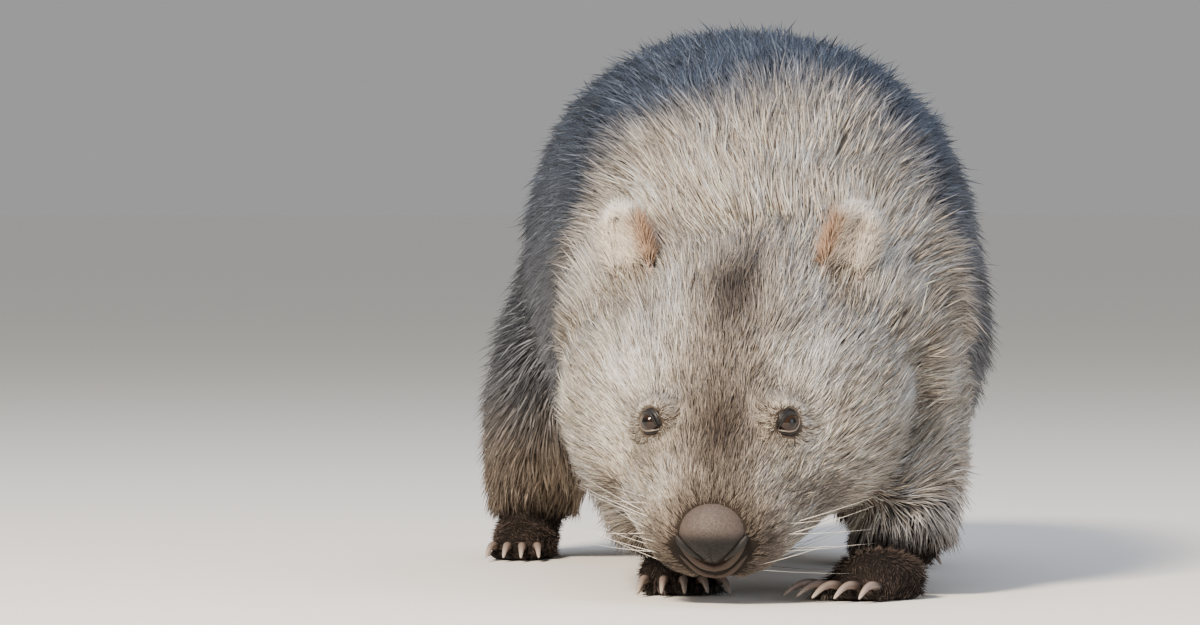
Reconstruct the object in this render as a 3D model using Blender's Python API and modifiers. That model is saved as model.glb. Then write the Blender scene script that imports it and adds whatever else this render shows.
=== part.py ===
"""A bare-nosed wombat walking with its head down, as a life-size still model.

Metres, +Z up. The animal faces -Y, its left side is at +X and its soles stand on z = 0.
One body is blended from lofted masses, and thin cuts part it into head, neck, trunk, legs and
paws. On the head and paws the surface runs along the tips of the short coat. On the neck, trunk
and legs it is the core of the long coat, and flat, overlapping locks reach out to the tips.
"""

import math

import bmesh
import bpy
import numpy as np
from mathutils import Matrix, Vector
from mathutils.bvhtree import BVHTree

# Driving dimensions
BACK_HEIGHT = 0.345  # floor to the coat on the top of the back
DRAWN_HEIGHT = 0.400  # the same height in the numbers below, which all scale with BACK_HEIGHT
GAP = 0.00035  # clearance between pieces that touch, in the same drawn numbers
HEAD_PITCH = math.radians(48)  # how far the face is turned down
HEAD_TURN = math.radians(-12)  # the head looks to the animal's right
NOSE_POINT = Vector((-0.062, -0.425, 0.047))  # middle of the nose pad

# Neck, trunk and rump: x, y, z, half width, height above and depth below that point
SPINE = (
    (-0.014, -0.290, 0.150, 0.124, 0.056, 0.082),
    (-0.010, -0.250, 0.184, 0.140, 0.072, 0.098),
    (-0.006, -0.205, 0.207, 0.147, 0.094, 0.115),
    (-0.005, -0.165, 0.217, 0.150, 0.122, 0.127),
    (-0.001, -0.115, 0.223, 0.154, 0.146, 0.138),
    (0.002, -0.050, 0.226, 0.158, 0.164, 0.148),
    (0.004, 0.050, 0.228, 0.159, 0.171, 0.151),
    (0.005, 0.160, 0.228, 0.158, 0.172, 0.148),
    (0.006, 0.260, 0.224, 0.153, 0.166, 0.140),
    (0.009, 0.340, 0.222, 0.140, 0.146, 0.128),
    (0.009, 0.390, 0.220, 0.116, 0.120, 0.108),
    (0.008, 0.420, 0.220, 0.088, 0.092, 0.084),
    (0.007, 0.436, 0.220, 0.056, 0.058, 0.054),
    (0.007, 0.442, 0.220, 0.024, 0.025, 0.024),
)
# Head sections in the head's own axes: distance behind the nose, half width, top, underside, pear shape
HEAD = (
    (-0.013, 0.027, 0.008, -0.026, 0.00),
    (-0.005, 0.041, 0.018, -0.038, 0.00),
    (0.012, 0.051, 0.026, -0.050, 0.08),
    (0.042, 0.063, 0.033, -0.064, 0.16),
    (0.075, 0.077, 0.037, -0.079, 0.22),
    (0.105, 0.092, 0.040, -0.091, 0.22),
    (0.140, 0.110, 0.043, -0.100, 0.16),
    (0.180, 0.126, 0.044, -0.103, 0.10),
    (0.220, 0.133, 0.040, -0.103, 0.05),
    (0.255, 0.130, 0.027, -0.098, 0.00),
)
# Soft masses that the legs and cheeks grow from: centre and radii, in the body's axes
SHOULDER = (
    ((0.075, -0.115, 0.190), (0.088, 0.120, 0.116)),
    ((-0.072, -0.115, 0.190), (0.086, 0.115, 0.116)),
)
HAUNCH = (
    ((0.074, 0.205, 0.190), (0.088, 0.165, 0.120)),
    ((-0.066, 0.275, 0.186), (0.092, 0.145, 0.120)),
)
CHEEK_AT = Vector((0.054, 0.152, -0.034))  # in the head's own axes
CHEEK_SIZE = Vector((0.070, 0.092, 0.072))
ORBIT_AT = Vector((0.035, 0.090, 0.008))
ORBIT_SIZE = Vector((0.028, 0.030, 0.026))

# Cuts across the body: a point of the plane and how far it leans, in degrees
HEAD_CUT = ((-0.020, -0.246, 0.170), 20)
NECK_CUT = ((0.0, -0.150, 0.220), 12)
CHEST_CUT = ((0.0, 0.030, 0.220), 0)
LOIN_CUT = ((0.0, 0.215, 0.220), 0)
# Where each leg is cut from the trunk: middle, radii and lean in degrees of an ellipsoid
LEG_CUTS = (
    ("foreleg_left", (0.098, -0.244, 0.096), (0.076, 0.086, 0.160), 40),
    ("foreleg_right", (-0.100, -0.172, 0.108), (0.068, 0.074, 0.138), 30),
    ("hindleg_left", (0.138, 0.148, 0.100), (0.082, 0.108, 0.128), 6),
    ("hindleg_right", (-0.146, 0.248, 0.100), (0.082, 0.110, 0.128), 6),
)
TAIL_AT = Vector((0.009, 0.432, 0.196))
TAIL_SIZE = Vector((0.015, 0.022, 0.034))
TAIL_LEAN = math.radians(24)

# Legs: x, y, z, half width, reach behind and reach in front of that point
FORELEG_LEFT = (
    (0.076, -0.120, 0.225, 0.056, 0.078, 0.066),
    (0.088, -0.175, 0.165, 0.054, 0.074, 0.058),
    (0.090, -0.230, 0.112, 0.048, 0.062, 0.052),
    (0.083, -0.280, 0.068, 0.042, 0.049, 0.045),
    (0.080, -0.312, 0.034, 0.037, 0.038, 0.036),
)
FORELEG_RIGHT = (
    (-0.076, -0.110, 0.225, 0.056, 0.076, 0.066),
    (-0.092, -0.135, 0.165, 0.054, 0.070, 0.058),
    (-0.092, -0.160, 0.112, 0.049, 0.060, 0.050),
    (-0.081, -0.194, 0.066, 0.041, 0.046, 0.043),
    (-0.073, -0.216, 0.034, 0.035, 0.036, 0.035),
)
HINDLEG_LEFT = (
    (0.080, 0.180, 0.240, 0.062, 0.125, 0.118),
    (0.104, 0.145, 0.175, 0.062, 0.120, 0.098),
    (0.116, 0.120, 0.115, 0.053, 0.092, 0.068),
    (0.114, 0.142, 0.064, 0.042, 0.054, 0.047),
    (0.110, 0.158, 0.034, 0.036, 0.038, 0.038),
)
HINDLEG_RIGHT = (
    (-0.068, 0.250, 0.240, 0.062, 0.130, 0.118),
    (-0.108, 0.240, 0.175, 0.060, 0.120, 0.100),
    (-0.128, 0.234, 0.115, 0.053, 0.092, 0.070),
    (-0.142, 0.264, 0.066, 0.042, 0.052, 0.047),
    (-0.145, 0.286, 0.034, 0.035, 0.038, 0.038),
)

# Each paw: name, heel point, heading from -Y towards +X in degrees, length, width
PAWS = (
    ("fore_left", (0.084, -0.316, 0.0), -44, 0.080, 0.066),
    ("fore_right", (-0.070, -0.222, 0.0), -2, 0.078, 0.064),
    ("hind_left", (0.110, 0.180, 0.0), 5, 0.112, 0.058),
    ("hind_right", (-0.145, 0.308, 0.0), -6, 0.112, 0.056),
)
PAW_HEIGHT = 0.036
TOE_RADIUS = 0.0095
CLAW_LENGTH = {"fore": 0.030, "hind": 0.025}
CLAW_RADIUS = 0.0036

EYE_RADIUS = 0.0085
EYE_AT = Vector((0.0330, 0.0930, 0.0110))
EYE_GAZE = Vector((0.60, -0.52, 0.61)).normalized()
LID_OPENING = (0.0096, 0.0078)  # half length and half height of the ring of the lids
LID_THICKNESS = 0.0022
EAR_AT = Vector((0.074, 0.233, 0.020))
EAR_LENGTH = 0.046
EAR_WIDTH = 0.052
EAR_SUNK = 0.022  # how far the root stands in the head
EAR_CUP = 0.016
EAR_WALL = 0.007
NOSE_SIZE = Vector((0.0255, 0.0200, 0.0215))

NOSTRIL = (
    (0.0225, 0.003, 0.002),
    (0.0205, -0.0065, -0.004),
    (0.0150, -0.0125, -0.0085),
    (0.0085, -0.0150, -0.013),
)
NOSTRIL_RADII = (0.0030, 0.0030, 0.0024, 0.0012)
MOUTH_HALF = 0.050  # half width of the mouth
MOUTH_BACK = 0.066  # how far behind the front of the lips its corners lie
MOUTH_DROP = 0.016
MOUTH_GROOVE = 0.0030

# The long coat: the locks' sizes, and how far the core and the tips stand from each other
CORE_DEPTH = 0.011
LOCK_LENGTH = 0.088
LOCK_WIDTH = 0.040
LOCK_THICKNESS = 0.0065
LOCK_SUNK = 0.010
LOCK_SWAY = 0.010
LEG_LOCK = 0.70  # the legs' locks are this much smaller
LOCK_SPACING = 0.056  # least distance between two roots
LOCK_FLOOR = 0.085  # no lock grows below this height
# Along a lock: share of its length, height as a share of the tip's, width and thickness as shares
LOCK_SECTIONS = ((0.30, 0.15, 1.0, 1.0), (0.66, 0.62, 0.74, 0.75))
# What a lock tries in turn until it is clear of the other nodes: share of its length, share of its height
LOCK_FITS = ((1.0, 1.0), (1.0, 1.4), (0.75, 1.0), (0.55, 1.1))
LOCK_SEED = 11
LOCK_TRIES = 9000

SHARP_ANGLE = math.radians(38)
MASS_VOXEL = 0.008
MASS_SMOOTHING = 24
HEAD_VOXEL = 0.006
HEAD_SMOOTHING = 16
VOXEL = 0.004
HEAD_SHARE = 0.056  # share of the dense faces kept in the body that the head is cut from
PAW_SHARE = 0.024  # the same for the paws
TRUNK_SHARE = 0.013  # the same for the trunk and legs

MATERIALS = {
    "coat_head": ((0.42, 0.36, 0.30), 0.85),
    "coat_back": ((0.13, 0.13, 0.14), 0.88),
    "coat_leg": ((0.20, 0.17, 0.15), 0.88),
    "paw_coat": ((0.06, 0.045, 0.04), 0.85),
    "nose_skin": ((0.075, 0.060, 0.055), 0.55),
    "eye": ((0.012, 0.008, 0.006), 0.08),
    "claw": ((0.30, 0.23, 0.20), 0.40),
}


def clear_scene():
    for item in list(bpy.data.objects):
        bpy.data.objects.remove(item, do_unlink=True)


def make_material(name):
    colour, roughness = MATERIALS[name]
    material = bpy.data.materials.new(name)
    material.use_nodes = True
    shader = material.node_tree.nodes["Principled BSDF"]
    shader.inputs["Base Color"].default_value = (*colour, 1)
    shader.inputs["Roughness"].default_value = roughness
    shader.inputs["Metallic"].default_value = 0
    return material


def link(obj, collection):
    for owner in list(obj.users_collection):
        owner.objects.unlink(obj)
    collection.objects.link(obj)
    return obj


def new_object(name, verts, faces):
    mesh = bpy.data.meshes.new(name)
    mesh.from_pydata([tuple(v) for v in verts], [], faces)
    obj = bpy.data.objects.new(name, mesh)
    bpy.context.scene.collection.objects.link(obj)
    return obj


def copy_of(obj, name):
    twin = bpy.data.objects.new(name, obj.data.copy())
    bpy.context.scene.collection.objects.link(twin)
    return twin


def bake(obj):
    """Replaces the object's mesh with what its modifiers make of it."""
    bpy.context.view_layer.update()
    graph = bpy.context.evaluated_depsgraph_get()
    mesh = bpy.data.meshes.new_from_object(obj.evaluated_get(graph))
    obj.modifiers.clear()
    obj.data = mesh
    return obj


def boolean(obj, operation, other):
    """Joins, cuts or intersects obj with one closed mesh or with a list of them, which are then removed."""
    others = other if isinstance(other, list) else [other]
    tools = bpy.data.collections.new("tools")
    for item in others:
        link(item, tools)
    modifier = obj.modifiers.new(operation, "BOOLEAN")
    modifier.operation = operation
    modifier.solver = "MANIFOLD"  # the body has too many faces for EXACT to be quick
    if len(others) == 1:
        modifier.object = others[0]
    else:
        modifier.operand_type = "COLLECTION"
        modifier.collection = tools
    bpy.context.scene.collection.children.link(tools)
    bake(obj)
    for item in others:
        bpy.data.objects.remove(item, do_unlink=True)
    bpy.data.collections.remove(tools)
    return obj


def keep_largest(obj):
    """Drops every closed surface of a mesh but the largest."""
    work = bmesh.new()
    work.from_mesh(obj.data)
    unseen = set(work.verts)
    shells = []
    while unseen:
        front = [unseen.pop()]
        shell = set(front)
        while front:
            vert = front.pop()
            for edge in vert.link_edges:
                other = edge.other_vert(vert)
                if other in unseen:
                    unseen.remove(other)
                    shell.add(other)
                    front.append(other)
        shells.append(shell)
    shells.sort(key=len)
    for shell in shells[:-1]:
        bmesh.ops.delete(work, geom=list(shell), context="VERTS")
    work.to_mesh(obj.data)
    work.free()
    return obj


def spline(rows, per):
    """Catmull-Rom interpolation of each column, with per steps between rows."""
    rows = np.array(rows, float)
    padded = np.vstack([2 * rows[0] - rows[1], rows, 2 * rows[-1] - rows[-2]])
    points = []
    for i in range(len(rows) - 1):
        a, b, c, d = padded[i : i + 4]
        for t in np.arange(per) / per:
            square = (2 * a - 5 * b + 4 * c - d) * t**2
            cube = (3 * b - 3 * c + d - a) * t**3
            points.append(0.5 * (2 * b + (c - a) * t + square + cube))
    points.append(rows[-1])
    return np.array(points)


def unit(vectors):
    return vectors / np.linalg.norm(vectors, axis=-1, keepdims=True)


def ramp(value, low, high):
    """Rises softly from 0 at low to 1 at high."""
    t = min(1.0, max(0.0, (value - low) / (high - low)))
    return t * t * (3 - 2 * t)


def drawn_in(rows):
    """Takes the long coat's depth off the sections of a loft, and none near the head and paws."""
    cores = []
    for x, y, z, *reaches in rows:
        depth = CORE_DEPTH * ramp(y, -0.30, -0.17) * ramp(z, 0.04, 0.15)
        cores.append((x, y, z, *(reach - min(depth, reach / 2) for reach in reaches)))
    return cores


def loft(name, rows, sides=36, per=4, squareness=2.3):
    """A closed loft. Each row is x, y, z, half width, reach up, reach down and, if given, pear shape.

    A section stands square to the path. Its width lies along X, and it is a superellipse whose
    upper and lower halves differ. The pear shape widens the lower half and narrows the upper.
    """
    rows = spline([tuple(r) + (0.0,) * (7 - len(r)) for r in rows], per)
    centres = rows[:, :3]
    along = unit(np.gradient(centres, axis=0))
    across = np.array([1.0, 0.0, 0.0]) - along * along[:, :1]
    across = unit(across)
    upward = np.cross(across, along)
    angle = np.linspace(0, 2 * math.pi, sides, endpoint=False)
    power = 2 / squareness
    cosine = np.sign(np.cos(angle)) * np.abs(np.cos(angle)) ** power
    sine = np.sign(np.sin(angle)) * np.abs(np.sin(angle)) ** power
    verts = []
    for centre, side, up, row in zip(centres, across, upward, rows):
        wide = row[3] * cosine * (1 - row[6] * sine)
        high = np.where(sine > 0, row[4], row[5]) * sine
        verts.extend(centre + wide[:, None] * side + high[:, None] * up)
    rings = len(rows)
    first, last = len(verts), len(verts) + 1
    verts.append(centres[0] - along[0] * 0.35 * rows[0, 3])
    verts.append(centres[-1] + along[-1] * 0.35 * rows[-1, 3])
    faces = []
    for r in range(rings - 1):
        for s in range(sides):
            a, b = r * sides + s, r * sides + (s + 1) % sides
            faces.append((a, b, b + sides, a + sides))
    top = (rings - 1) * sides
    for s in range(sides):
        after = (s + 1) % sides
        faces.append((after, s, first))
        faces.append((top + s, top + after, last))
    return outward(new_object(name, verts, faces))


def outward(obj):
    work = bmesh.new()
    work.from_mesh(obj.data)
    bmesh.ops.recalc_face_normals(work, faces=work.faces)
    if work.calc_volume(signed=True) < 0:
        bmesh.ops.reverse_faces(work, faces=work.faces)
    work.to_mesh(obj.data)
    work.free()
    return obj


def swollen(obj, distance):
    """Moves every face of a triangulated shape outwards by about that distance."""
    work = bmesh.new()
    work.from_mesh(obj.data)
    work.normal_update()
    moves = [vert.normal * distance for vert in work.verts]
    for vert, move in zip(work.verts, moves):
        vert.co += move
    work.to_mesh(obj.data)
    work.free()
    return obj


def grown(obj):
    """Makes the socket that a shape stands in."""
    return swollen(obj, GAP * 1.4)


def triangulated(obj):
    work = bmesh.new()
    work.from_mesh(obj.data)
    bmesh.ops.triangulate(work, faces=work.faces)
    work.to_mesh(obj.data)
    work.free()
    return obj


def ellipsoid(name, matrix, radii, segments=20, rings=12):
    mesh = bpy.data.meshes.new(name)
    work = bmesh.new()
    bmesh.ops.create_uvsphere(work, u_segments=segments, v_segments=rings, radius=1)
    bmesh.ops.transform(work, matrix=matrix @ Matrix.Diagonal((*radii, 1)), verts=work.verts)
    work.to_mesh(mesh)
    work.free()
    obj = bpy.data.objects.new(name, mesh)
    bpy.context.scene.collection.objects.link(obj)
    return obj


def box(name, matrix, low, high):
    mesh = bpy.data.meshes.new(name)
    work = bmesh.new()
    bmesh.ops.create_cube(work, size=1)
    size, middle = Vector(high) - Vector(low), (Vector(high) + Vector(low)) / 2
    place = matrix @ Matrix.Translation(middle) @ Matrix.Diagonal((*size, 1))
    bmesh.ops.transform(work, matrix=place, verts=work.verts)
    work.to_mesh(mesh)
    work.free()
    obj = bpy.data.objects.new(name, mesh)
    bpy.context.scene.collection.objects.link(obj)
    return obj


def tube(name, points, radii):
    """A round bar along points, tapering as radii say, closed at both ends."""
    curve = bpy.data.curves.new(name, "CURVE")
    curve.dimensions = "3D"
    curve.bevel_depth = 1.0
    curve.bevel_resolution = 1
    curve.use_fill_caps = True
    line = curve.splines.new("POLY")
    line.points.add(len(points) - 1)
    for spot, point, radius in zip(line.points, points, radii):
        spot.co = (*point, 1)
        spot.radius = radius
    drawn = bpy.data.objects.new(name, curve)
    bpy.context.scene.collection.objects.link(drawn)
    bpy.context.view_layer.update()
    graph = bpy.context.evaluated_depsgraph_get()
    mesh = bpy.data.meshes.new_from_object(drawn.evaluated_get(graph))
    bpy.data.objects.remove(drawn, do_unlink=True)
    work = bmesh.new()
    work.from_mesh(mesh)
    bmesh.ops.remove_doubles(work, verts=work.verts, dist=1e-6)
    bmesh.ops.triangulate(work, faces=work.faces)
    work.to_mesh(mesh)
    work.free()
    obj = bpy.data.objects.new(name, mesh)
    bpy.context.scene.collection.objects.link(obj)
    return outward(obj)


def blended(name, pieces, voxel, rounds):
    """Joins closed pieces into one skin and softens their creases."""
    body = pieces[0]
    body.name = name
    boolean(body, "UNION", pieces[1:])
    remesh = body.modifiers.new("one skin", "REMESH")
    remesh.mode = "VOXEL"
    remesh.voxel_size = voxel
    smooth = body.modifiers.new("soften", "SMOOTH")
    smooth.factor = 0.5
    smooth.iterations = rounds
    return bake(body)


def head_place():
    """Takes the head's own axes (left, behind the nose, up) to the body's."""
    turn = Matrix.Rotation(HEAD_TURN, 4, "Z") @ Matrix.Rotation(HEAD_PITCH, 4, "X")
    return Matrix.Translation(NOSE_POINT) @ turn


def mirrored(vector, side):
    return Vector((vector[0] * side, vector[1], vector[2]))


def head_loft(place):
    rows = []
    for back, half, top, under, pear in HEAD:
        middle = (top + under) / 2
        rows.append((0, back, middle, half, top - middle, middle - under, pear))
    head = loft("head loft", rows, squareness=2.2)
    head.data.transform(place)
    return head


def paw_frame(heel, heading):
    return Matrix.Translation(Vector(heel)) @ Matrix.Rotation(math.radians(heading), 4, "Z")


def toes_of(paw, length, width):
    """Each toe's middle, heading and whether it has a claw, in the paw's axes, pointing to -Y."""
    toes = []
    inmost = 4 if paw.endswith("right") else 0
    for i in range(5):
        spread = (i - 2) / 2
        reach = length - TOE_RADIUS * (1.2 + 0.9 * abs(spread) ** 1.5)
        clawed = paw.startswith("fore") or i != inmost
        if not clawed:
            reach -= 0.020
        middle = Vector((spread * (width / 2 - TOE_RADIUS), -reach, TOE_RADIUS * 0.95))
        toes.append((middle, spread * 14, clawed))
    return toes


def paw_pieces(paw, heel, heading, length, width):
    """The palm and the toes of one paw, before blending."""
    frame = paw_frame(heel, heading)
    palm = Matrix.Translation((0, -length * 0.44, PAW_HEIGHT * 0.42))
    pieces = [ellipsoid("palm", frame @ palm, (width / 2, length * 0.50, PAW_HEIGHT * 0.62))]
    for middle, _, _ in toes_of(paw, length, width):
        pieces.append(ellipsoid("toe", frame @ Matrix.Translation(middle), (TOE_RADIUS, 0.017, TOE_RADIUS)))
    return pieces


def claw_shape(frame, middle, turn, length):
    """A curved, tapering claw that leaves the toe's front and bends down to the ground."""
    heading = frame @ Matrix.Translation(middle) @ Matrix.Rotation(math.radians(turn), 4, "Z")
    drop = middle.z - 0.0022
    points, radii = [], []
    steps = 3
    for i in range(steps + 1):
        t = i / steps
        rise = 0.0015 + 0.003 * math.sin(math.pi * t) - drop * t**1.6
        points.append(heading @ Vector((0, -0.010 - length * t, rise)))
        radii.append(CLAW_RADIUS * (0.85 * (1 - t) ** 0.6 + 0.22))
    return tube("claw", points, radii)


def ear_shape(place, side):
    """A short rounded leaf, cupped towards the front and the side, as a solid shell."""
    along = mirrored(Vector((0.30, 0.82, 0.50)), side).normalized()
    facing = mirrored(Vector((0.34, -0.58, 0.72)), side)
    facing = (facing - along * facing.dot(along)).normalized()
    across = along.cross(facing)
    root = mirrored(EAR_AT, side) - along * EAR_SUNK
    length = EAR_LENGTH + EAR_SUNK
    columns, rows = 7, 8
    verts, faces = [], []
    for r in range(rows):
        v = math.sin(0.5 * math.pi * r / (rows - 1))
        round_off = math.sqrt(max(0.05, 1 - (max(0.0, v - 0.5) / 0.5) ** 2))
        half = EAR_WIDTH / 2 * (0.84 + 0.16 * min(1.0, v / 0.5)) * round_off
        for c in range(columns):
            u = 2 * c / (columns - 1) - 1
            cup = EAR_CUP * (u * u - 0.45) * (1 - 0.3 * v) + 0.010 * (1 - v) * v
            verts.append(place @ (root + along * length * v + across * half * u + facing * cup))
    for r in range(rows - 1):
        for c in range(columns - 1):
            a = r * columns + c
            faces.append((a, a + 1, a + columns + 1, a + columns))
    ear = new_object("ear", verts, faces)
    wall = ear.modifiers.new("wall", "SOLIDIFY")
    wall.thickness = EAR_WALL
    wall.offset = 0
    return triangulated(outward(bake(ear)))


def surface_point(tree, start, toward):
    """Where a ray from start in the direction toward first meets the body."""
    hit, normal, _, _ = tree.ray_cast(start, toward.normalized())
    return hit, normal


def eye_frame(tree, place, side):
    """The eye's middle, set so that its front stands just inside the lids."""
    gaze = (place.to_3x3() @ mirrored(EYE_GAZE, side)).normalized()
    spot = place @ mirrored(EYE_AT, side)
    hit, _ = surface_point(tree, spot + gaze * 0.06, -gaze)
    middle = hit - gaze * (EYE_RADIUS * 0.40)
    across = (place.to_3x3() @ Vector((0, 1, 0.15))).cross(gaze).normalized()
    long = across.cross(gaze).normalized()
    frame = Matrix((long, across, gaze)).transposed().to_4x4()
    return Matrix.Translation(middle) @ frame


def eye_ball(frame):
    return triangulated(ellipsoid("eye", frame, (EYE_RADIUS,) * 3, 12, 8))


def lid_ring(frame):
    """The rim of the lids: an oval ring, longer than it is wide, round the eye."""
    turns, sides = 18, 6
    level = Vector((0, 0, EYE_RADIUS * 0.48))
    verts, faces = [], []
    for i in range(turns):
        a = 2 * math.pi * i / turns
        out = Vector((LID_OPENING[0] * math.cos(a), LID_OPENING[1] * math.sin(a), 0))
        for s in range(sides):
            b = 2 * math.pi * s / sides
            rim = out.normalized() * math.cos(b) + Vector((0, 0, math.sin(b)))
            verts.append(frame @ (level + out + rim * LID_THICKNESS))
    for i in range(turns):
        after = (i + 1) % turns
        for s in range(sides):
            beside = (s + 1) % sides
            faces.append((i * sides + s, i * sides + beside, after * sides + beside, after * sides + s))
    return triangulated(outward(new_object("lids", verts, faces)))


def nose_shape(place):
    """The bare nose pad: an ellipsoid that narrows to a blunt point at the lip."""
    nose = ellipsoid("nose", Matrix.Identity(4), NOSE_SIZE, 16, 10)
    for vert in nose.data.vertices:
        low = max(0.0, -vert.co.z / NOSE_SIZE.z)
        vert.co.x *= 1 - 0.42 * low**1.3
        vert.co.y += 0.006 * low
    nose.data.transform(place @ Matrix.Translation((0, 0.0045, 0.000)))
    return triangulated(nose)


def nostril(place, side):
    """A comma-shaped slit along one lower edge of the nose pad."""
    points = [place @ mirrored(point, side) for point in NOSTRIL]
    return tube("nostril", points, NOSTRIL_RADII)


def mouth_line(place):
    """A thin groove between the lips, from one corner of the mouth round the front to the other."""
    points = []
    for i in range(-6, 7):
        t = i / 6
        back = MOUTH_BACK * abs(t) ** 1.9 - 0.006
        level = -0.031 - MOUTH_DROP * abs(t) ** 1.5
        points.append(place @ Vector((MOUTH_HALF * math.sin(1.35 * t), back, level)))
    return tube("mouth", points, [MOUTH_GROOVE] * len(points))


def half_space(point, normal, shift):
    """A large block that fills the space beyond a plane, moved by shift along the normal."""
    normal = Vector(normal).normalized()
    frame = normal.to_track_quat("Z", "X").to_matrix().to_4x4()
    return box("block", Matrix.Translation(Vector(point)) @ frame, (-0.6, -0.6, shift), (0.6, 0.6, 1.2))


def part_off(source, rests, name, region):
    """Cuts a named piece out of source, and clears its place in every body in rests.

    region(grow) makes the cutter, grown by that much, so the two cuts leave a thin gap.
    """
    piece = copy_of(source, name)
    boolean(piece, "INTERSECT", region(-GAP / 2))
    for rest in rests:
        boolean(rest, "DIFFERENCE", region(GAP / 2))
    return keep_largest(piece)


def pitched(degrees):
    angle = math.radians(degrees)
    return Vector((0, -math.cos(angle), -math.sin(angle)))


def ahead_of(cut):
    point, degrees = cut
    return lambda grow: half_space(point, pitched(degrees), -grow)


def leg_region(middle, radii, lean):
    """An ellipsoid round a leg that reaches into the trunk, leaning forward towards its foot."""
    place = Matrix.Translation(middle) @ Matrix.Rotation(math.radians(-lean), 4, "X")
    return lambda grow: ellipsoid("leg cut", place, Vector(radii) + Vector((grow,) * 3), 20, 14)


def paw_region(paw, heel, heading, length, width):
    middle = paw_frame(heel, heading) @ Matrix.Translation((0, -length * 0.42, 0))
    radii = Vector((width / 2 + 0.014, length * 0.66, PAW_HEIGHT + 0.016))
    return lambda grow: ellipsoid("paw cut", middle, radii + Vector((grow,) * 3), 20, 12)


def tail_shape():
    """The stub of a tail, which points down and hardly clears the rump."""
    place = Matrix.Translation(TAIL_AT) @ Matrix.Rotation(TAIL_LEAN, 4, "X")
    return triangulated(ellipsoid("tail", place, TAIL_SIZE, 12, 9))


def dense_body(place):
    """The whole animal as one soft skin, without ears, eyes, nose pad and claws."""
    trunk = [loft("spine", drawn_in(SPINE), squareness=2.25)]
    for middle, radii in SHOULDER + HAUNCH:
        core = Vector(radii) - Vector((CORE_DEPTH,) * 3)
        trunk.append(ellipsoid("mass", Matrix.Translation(middle), core))
    for legs in (FORELEG_LEFT, FORELEG_RIGHT, HINDLEG_LEFT, HINDLEG_RIGHT):
        trunk.append(loft("leg", drawn_in(legs)))
    head = [head_loft(place)]
    for side in (1, -1):
        for middle, size in ((CHEEK_AT, CHEEK_SIZE), (ORBIT_AT, ORBIT_SIZE)):
            head.append(ellipsoid("mass", place @ Matrix.Translation(mirrored(middle, side)), size))
    pieces = [blended("trunk", trunk, MASS_VOXEL, MASS_SMOOTHING)]
    pieces.append(blended("head", head, HEAD_VOXEL, HEAD_SMOOTHING))
    for paw in PAWS:
        pieces += paw_pieces(*paw)
    return blended("body", pieces, VOXEL, 4)


def thinned(body, name, share):
    """A copy of the dense body with only a share of its faces, and with flat soles."""
    twin = copy_of(body, name)
    fewer = twin.modifiers.new("fewer faces", "DECIMATE")
    fewer.ratio = share
    fewer.use_collapse_triangulate = True
    bake(twin)
    floor = box("floor", Matrix.Identity(4), (-1, -1, -1), (1, 1, 0))
    return boolean(twin, "DIFFERENCE", floor)


def lie_at(point, normal, leg):
    """The direction in which the coat lies: backwards on the back, down on flanks, rump and legs."""
    flank = ramp(abs(normal.x), 0.3, 0.9) * ramp(-point.z, -0.34, -0.12)
    lie = Vector((0.25 * normal.x, 1.0, -0.22 - 0.65 * flank))
    if leg:
        lie = Vector((0.1 * normal.x, 0.45, -1.0))
    return (lie - normal * lie.dot(normal)).normalized()


def lock_shape(tree, root, lie, length, width, lift, sway):
    """A flat, tapered lock. Its root is sunk, its middle follows the body and its tip stands out.

    Each section is a low triangle with its flat side towards the body.
    """
    verts = []
    sections = ((0.0, -LOCK_SUNK / lift, 0.70, 1.0),) + LOCK_SECTIONS
    for share, height, wide, thick in sections:
        spot, normal, _, _ = tree.find_nearest(root + lie * (length * share))
        side = normal.cross(lie).normalized()
        middle = spot + normal * (height * lift) + side * (sway * share**2)
        verts.append(middle + side * (wide * width / 2))
        verts.append(middle + normal * (thick * LOCK_THICKNESS))
        verts.append(middle - side * (wide * width / 2))
    spot, normal, _, _ = tree.find_nearest(root + lie * length)
    verts.append(spot + normal * lift + normal.cross(lie).normalized() * sway)
    tip = len(verts) - 1
    faces = [(0, 1, 2)]
    for low in range(0, tip - 3, 3):
        for corner in range(3):
            after = (corner + 1) % 3
            faces.append((low + corner, low + after, low + 3 + after, low + 3 + corner))
    for corner in range(3):
        faces.append((tip - 3 + corner, tip - 3 + (corner + 1) % 3, tip))
    return triangulated(outward(new_object("lock", verts, faces)))


def tree_of(obj):
    """The object's faces, for finding distances and crossings."""
    faces = [tuple(face.vertices) for face in obj.data.polygons]
    return BVHTree.FromPolygons([vert.co for vert in obj.data.vertices], faces)


def fitted_lock(tree, root, normal, sizes, leg, others):
    """A lock that clears every other node, or None. Its four sizes vary from -1 to 1."""
    small = LEG_LOCK if leg else 1.0
    length = LOCK_LENGTH * (1 + 0.16 * sizes[0]) * small
    width = LOCK_WIDTH * (1 + 0.18 * sizes[1]) * small
    lift = CORE_DEPTH * (1.10 + 0.20 * sizes[2]) * small
    lie = lie_at(root, normal, leg)
    for shorter, higher in LOCK_FITS:
        lock = lock_shape(tree, root, lie, length * shorter, width, lift * higher, LOCK_SWAY * sizes[3])
        room = swollen(copy_of(lock, "room"), GAP * 1.4)
        space = tree_of(room)
        bpy.data.objects.remove(room, do_unlink=True)
        if not any(other.overlap(space) for other in others):
            return lock
        bpy.data.objects.remove(lock, do_unlink=True)
    return None


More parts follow.
